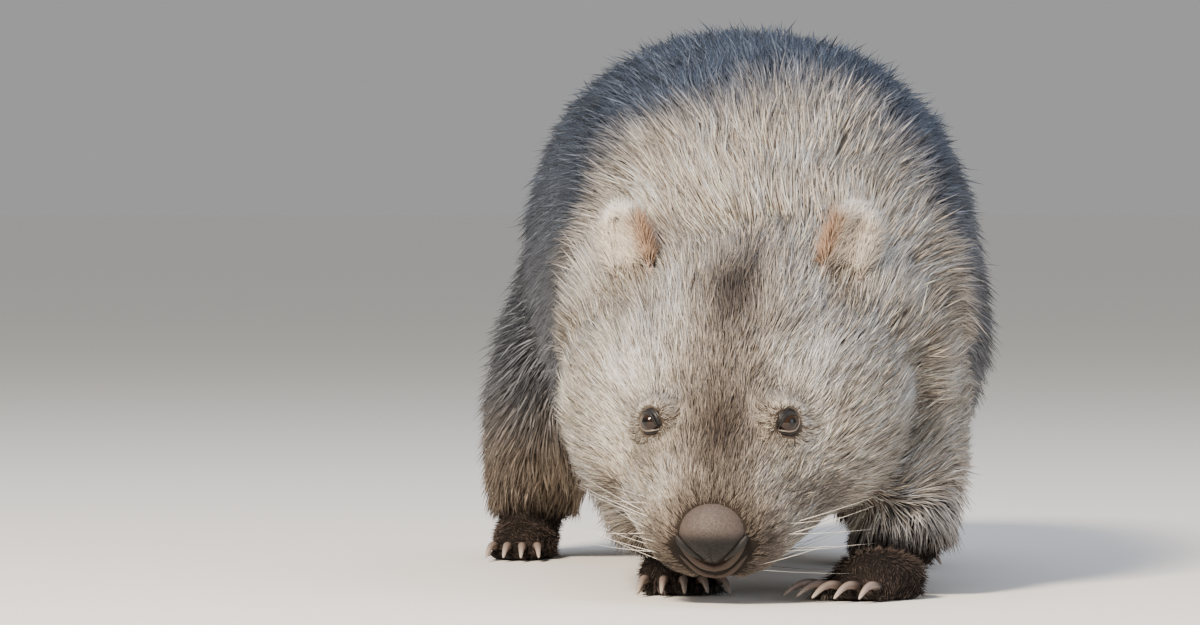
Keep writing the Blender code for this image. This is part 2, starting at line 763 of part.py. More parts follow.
def coat_locks(skin, carriers, rest):
    """Spreads locks evenly over the carriers, each rooted in one of them and clear of the others.

    skin is the whole body's tree. carriers and rest are lists of nodes.
    """
    draw = np.random.default_rng(LOCK_SEED)
    trees = {obj.name: [tree_of(obj)] for obj in carriers + rest}
    locks = {obj.name: [] for obj in carriers}
    roots = []
    for _ in range(LOCK_TRIES):
        ray = Vector(draw.normal(size=3)).normalized()
        inside = Vector((draw.uniform(-0.10, 0.10), draw.uniform(-0.32, 0.46), draw.uniform(0.10, 0.26)))
        sizes = draw.uniform(-1, 1, size=4)
        root, normal, _, _ = skin.ray_cast(inside + ray * 0.6, -ray)
        if root is None or root.z < LOCK_FLOOR or normal.z < -0.45 or normal.y < -0.75:
            continue
        if any((root - other).length < LOCK_SPACING for other in roots):
            continue
        near = {name: found[0].find_nearest(root)[3] for name, found in trees.items()}
        owner = min(near, key=near.get)
        if owner not in locks:
            continue
        others = [tree for name, found in trees.items() if name != owner for tree in found]
        lock = fitted_lock(skin, root, normal, sizes, "leg" in owner, others)
        if lock:
            roots.append(root)
            locks[owner].append(lock)
            trees[owner].append(tree_of(lock))
    for obj in carriers:
        boolean(obj, "UNION", locks[obj.name])
        keep_largest(obj)


def all_claws():
    """Every claw by name."""
    claws = {}
    for paw, heel, heading, length, width in PAWS:
        fore = paw.startswith("fore")
        number = 0
        for middle, turn, clawed in toes_of(paw, length, width):
            if clawed:
                number += 1
                reach = CLAW_LENGTH["fore" if fore else "hind"]
                claw = claw_shape(paw_frame(heel, heading), middle, turn, reach)
                claws[f"claw_{paw}_{number}"] = claw
    return claws


def finish(nodes):
    """Gives each node its size, place, shading, material and collection."""
    corners = np.array([obj.matrix_world @ v.co for obj, _ in nodes for v in obj.data.vertices])
    low, high = corners.min(axis=0), corners.max(axis=0)
    size = Matrix.Scale(BACK_HEIGHT / DRAWN_HEIGHT, 4)
    place = size @ Matrix.Translation((-(low[0] + high[0]) / 2, -(low[1] + high[1]) / 2, -low[2]))
    wombat = bpy.data.collections.new("wombat")
    bpy.context.scene.collection.children.link(wombat)
    materials = {name: make_material(name) for name in MATERIALS}
    for obj, coat in nodes:
        obj.data.transform(place)
        obj.data.materials.clear()
        obj.data.materials.append(materials[coat])
        obj.data.shade_smooth()
        obj.data.set_sharp_from_angle(angle=SHARP_ANGLE)
        link(obj, wombat)
    return place


def main():
    clear_scene()
    place = head_place()
    whole = dense_body(place)
    tree = tree_of(whole)
    eyes = {name: eye_frame(tree, place, side) for name, side in (("left", 1), ("right", -1))}
    head_body = thinned(whole, "head body", HEAD_SHARE)
    paw_body = thinned(whole, "paw body", PAW_SHARE)
    trunk_body = thinned(whole, "trunk body", TRUNK_SHARE)
    rests = (head_body, paw_body, trunk_body)

    boolean(head_body, "UNION", [lid_ring(frame) for frame in eyes.values()])
    sockets = [grown(eye_ball(frame)) for frame in eyes.values()]
    sockets += [grown(nose_shape(place)), mouth_line(place), nostril(place, 1), nostril(place, -1)]
    boolean(head_body, "DIFFERENCE", sockets)
    boolean(paw_body, "DIFFERENCE", [grown(claw) for claw in all_claws().values()])
    boolean(trunk_body, "DIFFERENCE", grown(tail_shape()))
    for rest in (head_body, trunk_body):
        boolean(rest, "DIFFERENCE", [grown(ear_shape(place, side)) for side in (1, -1)])

    nodes = []
    for paw in PAWS:
        name = paw[0].replace("_", "paw_")
        nodes.append((part_off(paw_body, rests, name, paw_region(*paw)), "paw_coat"))
    for name, *cut in LEG_CUTS:
        nodes.append((part_off(trunk_body, rests, name, leg_region(*cut)), "coat_leg"))
    nodes.append((part_off(head_body, rests, "head", ahead_of(HEAD_CUT)), "coat_head"))
    nodes.append((part_off(trunk_body, [trunk_body], "neck", ahead_of(NECK_CUT)), "coat_head"))
    nodes.append((part_off(trunk_body, [trunk_body], "chest", ahead_of(CHEST_CUT)), "coat_back"))
    nodes.append((part_off(trunk_body, [trunk_body], "loin", ahead_of(LOIN_CUT)), "coat_back"))
    nodes.append((keep_largest(copy_of(trunk_body, "rump")), "coat_back"))
    flesh = [obj for obj, _ in nodes]
    for spare in list(bpy.data.objects):
        if spare not in flesh:
            bpy.data.objects.remove(spare, do_unlink=True)
    for name, side in (("left", 1), ("right", -1)):
        ear = ear_shape(place, side)
        ear.name = f"ear_{name}"
        nodes.append((ear, "coat_head"))
        eye = eye_ball(eyes[name])
        eye.name = f"eye_{name}"
        nodes.append((eye, "eye"))
    nose = nose_shape(place)
    boolean(nose, "DIFFERENCE", [nostril(place, 1), nostril(place, -1)])
    nose.name = "nose"
    nodes.append((nose, "nose_skin"))
    tail = tail_shape()
    nodes.append((tail, "coat_back"))
    for name, claw in all_claws().items():
        claw.name = name
        nodes.append((claw, "claw"))
    shaggy = [name for name, *_ in LEG_CUTS] + ["neck", "chest", "loin", "rump"]
    pieces = [obj for obj, _ in nodes]
    carriers = [obj for obj in pieces if obj.name in shaggy]
    coat_locks(tree, carriers, [obj for obj in pieces if obj not in carriers])
    finish(nodes)


if __name__ == "__main__":
    main()
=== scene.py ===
import math

import bpy
import numpy as np
from mathutils import Matrix, Vector
from mathutils.bvhtree import BVHTree


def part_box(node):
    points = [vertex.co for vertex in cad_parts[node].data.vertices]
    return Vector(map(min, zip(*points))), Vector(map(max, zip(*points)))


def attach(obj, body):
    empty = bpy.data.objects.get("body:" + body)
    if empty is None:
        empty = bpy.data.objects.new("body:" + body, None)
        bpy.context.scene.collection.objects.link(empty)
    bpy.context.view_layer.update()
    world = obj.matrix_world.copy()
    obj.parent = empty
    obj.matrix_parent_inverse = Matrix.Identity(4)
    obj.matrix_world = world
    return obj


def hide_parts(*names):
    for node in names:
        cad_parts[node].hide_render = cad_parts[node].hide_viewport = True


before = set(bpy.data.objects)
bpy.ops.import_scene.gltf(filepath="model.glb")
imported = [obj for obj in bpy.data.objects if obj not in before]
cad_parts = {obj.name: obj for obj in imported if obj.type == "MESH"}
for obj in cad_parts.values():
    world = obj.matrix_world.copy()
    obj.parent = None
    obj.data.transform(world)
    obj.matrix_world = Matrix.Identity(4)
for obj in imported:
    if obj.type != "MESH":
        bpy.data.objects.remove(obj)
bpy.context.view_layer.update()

drawn = {  # what turns drawn numbers into metres: the back's height in both, and the tail's middle
    "height": 0.400, "realHeight": 0.345, "tailAt": (0.009, 0.432, 0.196),
}
scale = drawn["realHeight"] / drawn["height"]
tailLow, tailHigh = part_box("tail")
shift = np.array((tailLow + tailHigh) / 2) - scale * np.array(drawn["tailAt"])


# Small tools for arrays

def unit(vectors):  # each row divided by its length
    return vectors / np.maximum(np.linalg.norm(vectors, axis=-1, keepdims=True), 1e-12)


def dot(a, b):  # row by row
    return (a * b).sum(axis=-1)


def ramp(value, low, high):  # rises softly from 0 at low to 1 at high
    t = np.clip((value - low) / (high - low), 0, 1)
    return t * t * (3 - 2 * t)


def mix(a, b, share):  # a where share is 0 and b where it is 1
    return a * (1 - share) + b * share


def mixRows(a, b, share):  # the same for colours or directions, with one share for each
    return mix(a, b, np.asarray(share)[..., None])


def linear(code):  # an sRGB hex value as linear light
    parts = np.array([int(code[i:i + 2], 16) / 255 for i in (1, 3, 5)])
    return np.where(parts <= 0.04045, parts / 12.92, ((parts + 0.055) / 1.055) ** 2.4)


floorGap = 0.0015  # metres above the floor below which heights are eased


def aboveFloor(height):  # eases heights near and under the floor to just above it
    return np.where(height < floorGap, floorGap * np.exp(np.minimum(0, height / floorGap - 1)), height)


def toFrame(points):  # drawn numbers to metres in the frame
    return np.asarray(points) * scale + shift


def toDrawn(points):  # metres in the frame to drawn numbers
    return (np.asarray(points) - shift) / scale


def waves(points, size, seed, count=10):  # a soft field of about -1 to 1: sines in random directions, summed
    draw = np.random.default_rng(seed)
    ways = unit(draw.normal(size=(count, 3))) * draw.uniform(0.6, 1.6, size=(count, 1))
    phases = draw.uniform(0, 2 * math.pi, size=count)
    return np.sin(points @ ways.T * (2 * math.pi / size) + phases).sum(axis=1) / math.sqrt(count)


def cells(points, size, seed):  # the nearest of random spots, one to a cube of that size, and its number
    base = np.floor(points / size).astype(np.int64)
    best = np.full(len(points), np.inf)
    place = np.zeros((len(points), 3))
    value = np.zeros(len(points))
    for i in range(27):
        cube = base + np.array([i % 3 - 1, i // 3 % 3 - 1, i // 9 - 1])
        key = cube[:, 0] * 73856093 ^ cube[:, 1] * 19349663 ^ cube[:, 2] * 83492791 ^ seed
        draws = []
        for mult in (1274126177, 2246822519, 3266489917, 668265263):
            key = (key ^ (key >> 15)) * mult & 0xFFFFFFFF
            draws.append(key / 2 ** 32)
        spots = (cube + np.stack(draws[:3], 1)) * size
        gap = np.linalg.norm(spots - points, axis=1)
        nearer = gap < best
        best = np.where(nearer, gap, best)
        place = np.where(nearer[:, None], spots, place)
        value = np.where(nearer, draws[3], value)
    return place, value


# Surfaces

def spline(rows, per):  # Catmull-Rom through the rows, with per steps from each to the next
    rows = np.array(rows, float)
    ends = np.vstack([2 * rows[0] - rows[1], rows, 2 * rows[-1] - rows[-2]])
    a, b, c, d = (ends[i:len(ends) - 3 + i, None, :] for i in range(4))
    t = (np.arange(per) / per)[None, :, None]
    squared, cubed = 2 * a - 5 * b + 4 * c - d, 3 * b - 3 * c + d - a
    curve = 0.5 * (2 * b + (c - a) * t + squared * t ** 2 + cubed * t ** 3)
    return np.vstack([curve.reshape(-1, rows.shape[1]), rows[-1:]])


def gridFaces(rows, columns, closed=True):  # quads of a grid, row by row, closed round the columns or not
    r = np.arange(rows - 1)[:, None]
    c = np.arange(columns if closed else columns - 1)[None, :]
    after = (c + 1) % columns
    this, following = r * columns, (r + 1) * columns
    return np.stack([this + c, this + after, following + after, following + c], -1).reshape(-1, 4)


def capped(points, rings, sides):  # a closed skin over rings: quads between them, a fan at each end
    flat = points.reshape(-1, 3)
    ends = np.vstack([points[0].mean(axis=0), points[-1].mean(axis=0)])
    turn = np.arange(sides)
    after = (turn + 1) % sides
    first, top = rings * sides, (rings - 1) * sides
    fans = np.vstack([
        np.stack([after, turn, np.full(sides, first)], 1),
        np.stack([top + turn, top + after, np.full(sides, first + 1)], 1),
    ])
    return np.vstack([flat, ends]), [tuple(face) for face in [*gridFaces(rings, sides), *fans]]


def joined(parts):  # the points and faces of several shapes as one
    bases = np.cumsum([0] + [len(points) for points, _ in parts]).tolist()
    faces = [tuple(int(i) + base for i in face) for base, (_, part) in zip(bases, parts) for face in part]
    return np.vstack([points for points, _ in parts]), faces


def loft(rows, sides=40, per=5, squareness=2.3):
    # Superellipse sections square to a path. Width lies along X, and the halves above and below differ.
    # Rows: x, y, z, half width, reach up, reach down and, if given, how pear-shaped.
    rows = spline([tuple(row) + (0.0,) * (7 - len(row)) for row in rows], per)
    centres = rows[:, :3]
    along = unit(np.gradient(centres, axis=0))
    across = unit(np.array([1.0, 0, 0]) - along * along[:, :1])
    upward = np.cross(across, along)
    angle = np.linspace(0, 2 * math.pi, sides, endpoint=False)
    cosine = np.sign(np.cos(angle)) * np.abs(np.cos(angle)) ** (2 / squareness)
    sine = np.sign(np.sin(angle)) * np.abs(np.sin(angle)) ** (2 / squareness)
    wide = rows[:, 3:4] * cosine * (1 - rows[:, 6:7] * sine)
    high = np.where(sine > 0, rows[:, 4:5], rows[:, 5:6]) * sine
    points = centres[:, None] + wide[..., None] * across[:, None] + high[..., None] * upward[:, None]
    return capped(points, len(rows), sides)


def ball(centre, radii, place=None, sides=32, rings=18):  # an ellipsoid, in the axes of a matrix if given
    lat = (np.arange(1, rings) / rings * math.pi)[:, None]
    lon = (np.arange(sides) / sides * 2 * math.pi)[None, :]
    shell = np.stack([np.sin(lat) * np.cos(lon), np.sin(lat) * np.sin(lon), np.cos(lat) + 0 * lon], -1)
    points = shell * np.array(radii) + np.array(centre)
    if place is not None:
        points = points @ np.array(place)[:3, :3].T + np.array(place)[:3, 3]
    return capped(points, rings - 1, sides)


def sweep(path, radii, sides=10, flat=1.0):  # a round bar along a path, closed at both ends
    path = np.asarray(path, float)
    along = unit(np.gradient(path, axis=0))
    helper = np.where(np.abs(along[:, 2:3]) > 0.9, [[1.0, 0, 0]], [[0, 0, 1.0]])
    across = unit(np.cross(along, helper))
    upward = np.cross(across, along)
    angle = np.linspace(0, 2 * math.pi, sides, endpoint=False)[None, :, None]
    ring = across[:, None] * np.cos(angle) + upward[:, None] * np.sin(angle) * flat
    return capped(path[:, None] + ring * np.asarray(radii, float)[:, None, None], len(path), sides)


def newPiece(name, verts, faces, material):  # a smooth mesh object that faces outwards
    mesh = bpy.data.meshes.new(name)
    mesh.from_pydata(np.asarray(verts).tolist(), [], [tuple(map(int, f)) for f in faces])
    mesh.polygons.foreach_set("use_smooth", np.ones(len(mesh.polygons), bool))
    piece = bpy.data.objects.new(name, mesh)
    bpy.context.scene.collection.objects.link(piece)
    mesh.materials.append(material)
    turnOutward(piece)
    return piece


def turnOutward(piece):  # turns every face over if the closed shape is inside out
    mesh = piece.data
    mesh.calc_loop_triangles()
    corners = np.empty(len(mesh.loop_triangles) * 3, np.int32)
    mesh.loop_triangles.foreach_get("vertices", corners)
    a, b, c = vertsOf(mesh)[corners].reshape(-1, 3, 3).transpose(1, 0, 2)
    if dot(a, np.cross(b, c)).sum() < 0:
        mesh.flip_normals()


def vertsOf(mesh):  # its points as rows
    flat = np.empty(len(mesh.vertices) * 3, np.float32)
    mesh.vertices.foreach_get("co", flat)
    return flat.reshape(-1, 3).astype(float)


def normalsOf(mesh):  # its normals at the points as rows
    flat = np.empty(len(mesh.vertices) * 3, np.float32)
    mesh.vertex_normals.foreach_get("vector", flat)
    return flat.reshape(-1, 3).astype(float)


def setVerts(mesh, verts):  # moves its points
    mesh.vertices.foreach_set("co", np.asarray(verts, np.float32).ravel())
    mesh.update()


def setColour(mesh, name, colours):  # a linear colour at each point
    layer = mesh.attributes.new(name, "FLOAT_COLOR", "POINT")
    full = np.ones((len(colours), 4), np.float32)
    full[:, :3] = colours
    layer.data.foreach_set("color", full.ravel())


def applyModifiers(piece):  # puts the shape with its modifiers into the mesh
    bpy.context.view_layer.update()
    mesh = bpy.data.meshes.new_from_object(piece.evaluated_get(bpy.context.evaluated_depsgraph_get()))
    piece.modifiers.clear()
    piece.data = mesh


def blended(name, surfaces, voxel, rounds):  # closed surfaces that overlap, made one skin with soft creases
    verts, faces = joined(surfaces)
    mesh = bpy.data.meshes.new(name)
    mesh.from_pydata(verts.tolist(), [], faces)
    piece = bpy.data.objects.new(name, mesh)
    bpy.context.scene.collection.objects.link(piece)
    remesh = piece.modifiers.new("one skin", "REMESH")
    remesh.mode = "VOXEL"
    remesh.voxel_size = voxel
    soften = piece.modifiers.new("soften", "SMOOTH")
    soften.factor = 0.5
    soften.iterations = rounds
    applyModifiers(piece)
    done = piece.data
    bpy.data.objects.remove(piece, do_unlink=True)
    points = vertsOf(done)
    counts = np.empty(len(done.polygons), np.int32)
    done.polygons.foreach_get("loop_total", counts)
    corners = np.empty(len(done.loops), np.int32)
    done.loops.foreach_get("vertex_index", corners)
    starts = np.concatenate([[0], np.cumsum(counts)])
    quads = [tuple(corners[starts[i]:starts[i + 1]].tolist()) for i in range(len(counts))]
    bpy.data.meshes.remove(done)
    return points, quads


# The body, in drawn numbers, out to the tips of the coat

trunk = {
    "spine": (  # x, y, z, half width, reach up, reach down
        (-0.014, -0.290, 0.150, 0.124, 0.056, 0.082),
        (-0.010, -0.250, 0.184, 0.140, 0.072, 0.098),
        (-0.006, -0.205, 0.207, 0.147, 0.094, 0.115),
        (-0.005, -0.165, 0.217, 0.150, 0.122, 0.127),
        (-0.001, -0.115, 0.223, 0.154, 0.146, 0.138),
        (0.002, -0.050, 0.226, 0.158, 0.164, 0.148),
        (0.004, 0.050, 0.228, 0.159, 0.171, 0.151),
        (0.005, 0.160, 0.228, 0.158, 0.172, 0.148),
        (0.006, 0.260, 0.224, 0.153, 0.166, 0.140),
        (0.009, 0.340, 0.222, 0.140, 0.146, 0.128),
        (0.009, 0.390, 0.220, 0.116, 0.120, 0.108),
        (0.008, 0.420, 0.220, 0.088, 0.092, 0.084),
        (0.007, 0.436, 0.220, 0.056, 0.058, 0.054),
        (0.007, 0.442, 0.220, 0.024, 0.025, 0.024),
    ),
    "masses": (  # middle and radii of shoulders and haunches
        ((0.075, -0.115, 0.190), (0.088, 0.120, 0.116)),
        ((-0.072, -0.115, 0.190), (0.086, 0.115, 0.116)),
        ((0.074, 0.205, 0.190), (0.088, 0.165, 0.120)),
        ((-0.066, 0.275, 0.186), (0.092, 0.145, 0.120)),
    ),
    "tail": (0.015, 0.022, 0.034),
    "tailLean": 24,
    "voxel": 0.008,
    "rounds": 24,
}
legs = {  # x, y, z, half width, reach behind, reach in front
    "foreLeft": (
        (0.076, -0.120, 0.225, 0.056, 0.078, 0.066),
        (0.088, -0.175, 0.165, 0.054, 0.074, 0.058),
        (0.090, -0.230, 0.112, 0.048, 0.062, 0.052),
        (0.083, -0.280, 0.068, 0.042, 0.049, 0.045),
        (0.080, -0.312, 0.034, 0.037, 0.038, 0.036),
    ),
    "foreRight": (
        (-0.076, -0.110, 0.225, 0.056, 0.076, 0.066),
        (-0.092, -0.135, 0.165, 0.054, 0.070, 0.058),
        (-0.092, -0.160, 0.112, 0.049, 0.060, 0.050),
        (-0.081, -0.194, 0.066, 0.041, 0.046, 0.043),
        (-0.073, -0.216, 0.034, 0.035, 0.036, 0.035),
    ),
    "hindLeft": (
        (0.080, 0.180, 0.240, 0.062, 0.125, 0.118),
        (0.104, 0.145, 0.175, 0.062, 0.120, 0.098),
        (0.116, 0.120, 0.115, 0.053, 0.092, 0.068),
        (0.114, 0.142, 0.064, 0.042, 0.054, 0.047),
        (0.110, 0.158, 0.034, 0.036, 0.038, 0.038),
    ),
    "hindRight": (
        (-0.068, 0.250, 0.240, 0.062, 0.130, 0.118),
        (-0.108, 0.240, 0.175, 0.060, 0.120, 0.100),
        (-0.128, 0.234, 0.115, 0.053, 0.092, 0.070),
        (-0.142, 0.264, 0.066, 0.042, 0.052, 0.047),
        (-0.145, 0.286, 0.034, 0.035, 0.038, 0.038),
    ),
}
paws = (  # name, heel, heading from -Y towards +X in degrees, length, width
    ("fore_left", (0.084, -0.316), -44, 0.080, 0.066),
    ("fore_right", (-0.070, -0.222), -2, 0.078, 0.064),
    ("hind_left", (0.110, 0.180), 5, 0.112, 0.058),
    ("hind_right", (-0.145, 0.308), -6, 0.112, 0.056),
)
paw = {"height": 0.036, "toe": 0.0095, "claw": {"fore": 0.030, "hind": 0.025}, "clawRadius": 0.0036}
head = {
    "pitch": 48,
    "turn": -12,
    "nose": (-0.062, -0.425, 0.047),
    "rows": (  # behind the nose, half width, top, underside, how pear-shaped
        (-0.013, 0.027, 0.008, -0.026, 0.00),
        (-0.005, 0.041, 0.018, -0.038, 0.00),
        (0.012, 0.051, 0.026, -0.050, 0.08),
        (0.042, 0.063, 0.033, -0.064, 0.16),
        (0.075, 0.077, 0.037, -0.079, 0.22),
        (0.105, 0.092, 0.040, -0.091, 0.22),
        (0.140, 0.110, 0.043, -0.100, 0.16),
        (0.180, 0.126, 0.044, -0.103, 0.10),
        (0.220, 0.133, 0.040, -0.103, 0.05),
        (0.255, 0.130, 0.027, -0.098, 0.00),
    ),
    "masses": (  # cheeks and brows, on the left; the right mirrors them
        ((0.054, 0.152, -0.034), (0.070, 0.092, 0.072)),
        ((0.035, 0.090, 0.008), (0.028, 0.030, 0.026)),
    ),
    "voxel": 0.006,
    "rounds": 16,
}
skinVoxel = 0.0039

headFrame = (
    Matrix.Translation(Vector(head["nose"]))
    @ Matrix.Rotation(math.radians(head["turn"]), 4, "Z")
    @ Matrix.Rotation(math.radians(head["pitch"]), 4, "X")
)
headTurn = np.array(headFrame.to_3x3())


def headPoints(points):  # frame metres to the head's own drawn axes: left, behind the nose, up
    return (toDrawn(points) - np.array(head["nose"])) @ headTurn


def fromHead(points):  # the head's own drawn axes to frame metres
    return toFrame(np.asarray(points) @ headTurn.T + np.array(head["nose"]))


def pawFrame(heel, heading):  # the paw's own axes: toes towards -Y, the heel at the origin
    return Matrix.Translation((*heel, 0)) @ Matrix.Rotation(math.radians(heading), 4, "Z")


def toesOf(name, length, width):  # each toe's middle, heading and whether it has a claw, in the paw's axes
    toes = []
    inmost = 4 if name.endswith("right") else 0
    for i in range(5):
        spread = (i - 2) / 2
        reach = length - paw["toe"] * (1.2 + 0.9 * abs(spread) ** 1.5)
        clawed = name.startswith("fore") or i != inmost
        if not clawed:
            reach -= 0.020
        middle = Vector((spread * (width / 2 - paw["toe"]), -reach, paw["toe"] * 0.95))
        toes.append((middle, spread * 14, clawed))
    return toes


def bodySurface():  # trunk, head and paws blended as in the solids, out to the tips of the coat
    pieces = [loft(trunk["spine"], squareness=2.25)]
    pieces += [ball(middle, radii) for middle, radii in trunk["masses"]]
    pieces += [loft(rows) for rows in legs.values()]
    lean = Matrix.Translation(drawn["tailAt"]) @ Matrix.Rotation(math.radians(trunk["tailLean"]), 4, "X")
    pieces.append(ball((0, 0, 0), trunk["tail"], lean))
    rows = [(0, back, (top + low) / 2, half, (top - low) / 2, (top - low) / 2, pear)
            for back, half, top, low, pear in head["rows"]]
    points, faces = loft(rows, squareness=2.2)
    skull = [(points @ headTurn.T + np.array(head["nose"]), faces)]
    for side in (1, -1):
        skull += [ball((side * m[0], m[1], m[2]), radii, headFrame) for m, radii in head["masses"]]
    whole = [
        blended("trunk", pieces, trunk["voxel"], trunk["rounds"]),
        blended("skull", skull, head["voxel"], head["rounds"]),
    ]
    for name, heel, heading, length, width in paws:
        place = pawFrame(heel, heading)
        radii = (width / 2, length / 2, paw["height"] * 0.62)
        whole.append(ball((0, -length * 0.44, paw["height"] * 0.42), radii, place))
        for middle, _, _ in toesOf(name, length, width):
            whole.append(ball(middle, (paw["toe"], 0.017, paw["toe"]), place, 16, 10))
    return blended("body", whole, skinVoxel, 4)


# Fields over the animal: how long the coat is, how it lies and how it is coloured

headReach = (  # how far out the head goes to each side, at places behind the nose, in drawn metres
    (-0.030, 0.045), (0.000, 0.055), (0.040, 0.078), (0.080, 0.105),
    (0.120, 0.130), (0.160, 0.142), (0.260, 0.150),
)
pawSpots = (  # middle and size, in drawn metres, of what is forepaw close to the head
    ((-0.071, -0.262, 0.012), (0.036, 0.044, 0.028)),
    ((0.056, -0.345, 0.010), (0.034, 0.044, 0.024)),
    ((0.086, -0.300, 0.035), (0.045, 0.060, 0.036)),
)
muzzleMiddle = np.array([0, -0.005, -0.012])  # in the head's own drawn axes
borders = {  # where the coat's regions fade in or out, in drawn metres
    "nape": (0.19, 0.27), "jaw": (-0.17, -0.12), "cheek": (0.0, 0.012),  # behind, above, past headReach
    "legs": (0.075, 0.165), "paws": (0.030, 0.062),  # above the ground
    "face": (0.022, 0.075), "crown": (0.09, 0.21),  # from the middle of the muzzle
    "neck": (-0.22, 0.00),  # along Y
}


def eyeAxes(side):  # the eyeball's middle in the frame and its axes: to the outer corner, down, gaze
    low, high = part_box("eye_left" if side > 0 else "eye_right")
    gaze = unit(np.array([side * eyes["gaze"][0], *eyes["gaze"][1:]]) @ headTurn.T)
    corner = np.array([side * eyes["corner"][0], *eyes["corner"][1:]]) @ headTurn.T
    outer = unit(corner - gaze * dot(corner, gaze))
    return np.array((low + high) / 2), outer, np.cross(outer, gaze) * side, gaze


eyes = {
    "gaze": (0.60, -0.52, 0.61),  # of the left eye, in the head's axes
    "corner": (0.70, 0.72, -0.05),  # from the eye's inner corner to its outer one, in the head's axes
    "radius": 0.0085,
    "iris": 58, "pupil": 18,  # half angles in degrees
    "hues": ("#060404", "#24160c", "#0c0806", "#120d0b"),  # pupil, iris, its rim, the rest
    "orbit": (0.40, 0.28),  # how high the skin stands by the lids and how fast it falls, in radii
    "bare": (0.0083, 0.0090),  # metres from the eye's middle to where the hair starts
    "opening": (72, 41),  # half angles of the lids' opening along and across
    "pointed": 1.42,  # the opening's power: 2 is an ellipse, 1 a diamond
    "lidHues": ("#0d0a09", "#241d1a", "#7f7165", "#181311"),  # upper lid, its dark skin with painted shade under the brow, lower lid, lower rim, outside
}


ears = {
    "at": (0.074, 0.233, 0.020),  # the left ear's root, in the head's axes, as are its directions
    "along": (0.30, 0.82, 0.50), "facing": (0.34, -0.58, 0.72),
    "length": 0.035, "width": 0.032, "sunk": 0.022, "cup": 0.009, "wall": 0.0042,
    "hues": ("#6f5d54", "#a08d80"),  # inside and edge
}


def eyeDistance(points):  # metres to the nearer eye, and the direction away from it
    gaps = [points - eyeAxes(side)[0] for side in (1, -1)]
    lengths = [np.linalg.norm(gap, axis=1) for gap in gaps]
    nearer = (lengths[0] < lengths[1])[:, None]
    return np.minimum(*lengths), unit(np.where(nearer, gaps[0], gaps[1]))


def setEyes(points):  # raises the skin to the lids round each eye and sinks it behind the eyeball
    radius = eyes["radius"] * scale
    for side in (1, -1):
        middle, _, _, gaze = eyeAxes(side)
        rel = points - middle
        height = dot(rel, gaze)
        out = np.linalg.norm(rel - height[:, None] * gaze, axis=1) / radius
        near = np.abs(height) < 2.2 * radius
        mound = radius * (eyes["orbit"][0] - eyes["orbit"][1] * (out - 1))
        lift = np.maximum(0, mound - height) * (1 - ramp(out, 1.3, 2.5)) * near
        sink = (height + 0.3 * radius) * (1 - ramp(out, 0.80, 1.02)) * near
        points = points + gaze * np.where(out < 1.02, -np.maximum(0, sink), lift)[:, None]
    return points


def spot(places, centre, size):  # a soft round patch, 1 at its centre
    return np.exp(-(((places - np.array(centre)) / np.array(size)) ** 2).sum(axis=1))


def regions(points):  # drawn places, the same in the head's axes, and soft shares of head, legs and paws
    p = toDrawn(points)
    h = headPoints(points)
    side = np.interp(h[:, 1], [row[0] for row in headReach], [row[1] for row in headReach])
    isHead = (1 - ramp(h[:, 1], *borders["nape"])) * (1 - ramp(np.abs(h[:, 0]) - side, *borders["cheek"]))
    isHead = isHead * ramp(h[:, 2], *borders["jaw"])
    onPaw = sum(spot(p, middle, size) for middle, size in pawSpots)
    isHead = isHead * (1 - np.clip(1.7 * onPaw, 0, 1))
    low = (1 - ramp(p[:, 2], *borders["legs"])) * (1 - isHead)
    onPaws = (1 - ramp(p[:, 2], *borders["paws"])) * (1 - isHead)
    return p, h, isHead, low, onPaws


coat = {  # the hair's length in millimetres and its angle to the skin in degrees
    "muzzle": (5.0, 16), "face": (10.0, 16), "crown": (17.0, 19), "cheek": (18.0, 19), "neck": (27.0, 20),
    "back": (34.0, 19), "leg": (20.0, 18), "paw": (8.0, 18),
}


def coatLength(points):  # length in metres and angle from the skin, blended from the regions
    p, h, isHead, low, onPaws = regions(points)
    fromNose = np.linalg.norm(h - muzzleMiddle, axis=1)
    face = ramp(fromNose, *borders["face"])
    crown = ramp(fromNose, *borders["crown"])
    side = ramp(np.abs(h[:, 0]), 0.055, 0.105) * ramp(h[:, 1], 0.05, 0.13)
    neck = ramp(p[:, 1], *borders["neck"])
    out = []
    for n in (0, 1):
        v = {name: pair[n] for name, pair in coat.items()}
        onHead = mix(mix(mix(v["muzzle"], v["face"], face), v["crown"], crown), v["cheek"], side)
        onBody = mix(mix(v["neck"], v["back"], neck), v["leg"], low)
        out.append(mix(mix(onBody, onHead, isHead), v["paw"], onPaws))
    gap, _ = eyeDistance(points)
    byEar = spot(np.abs(h) * (1, 1, 0), (ears["at"][0], ears["at"][1] - 0.022, 0), (0.034, 0.030, 1.0))
    length = out[0] * 0.001 * mix(0.35, 1.0, ramp(gap, 0.010, 0.026)) * (1 + 0.8 * byEar)
    return length, np.radians(out[1]) * (1 + 0.5 * byEar)


def coatDepth(points):  # how far the skin lies inside the tips
    length, angle = coatLength(points)
    return length * np.sin(angle) + 0.0005


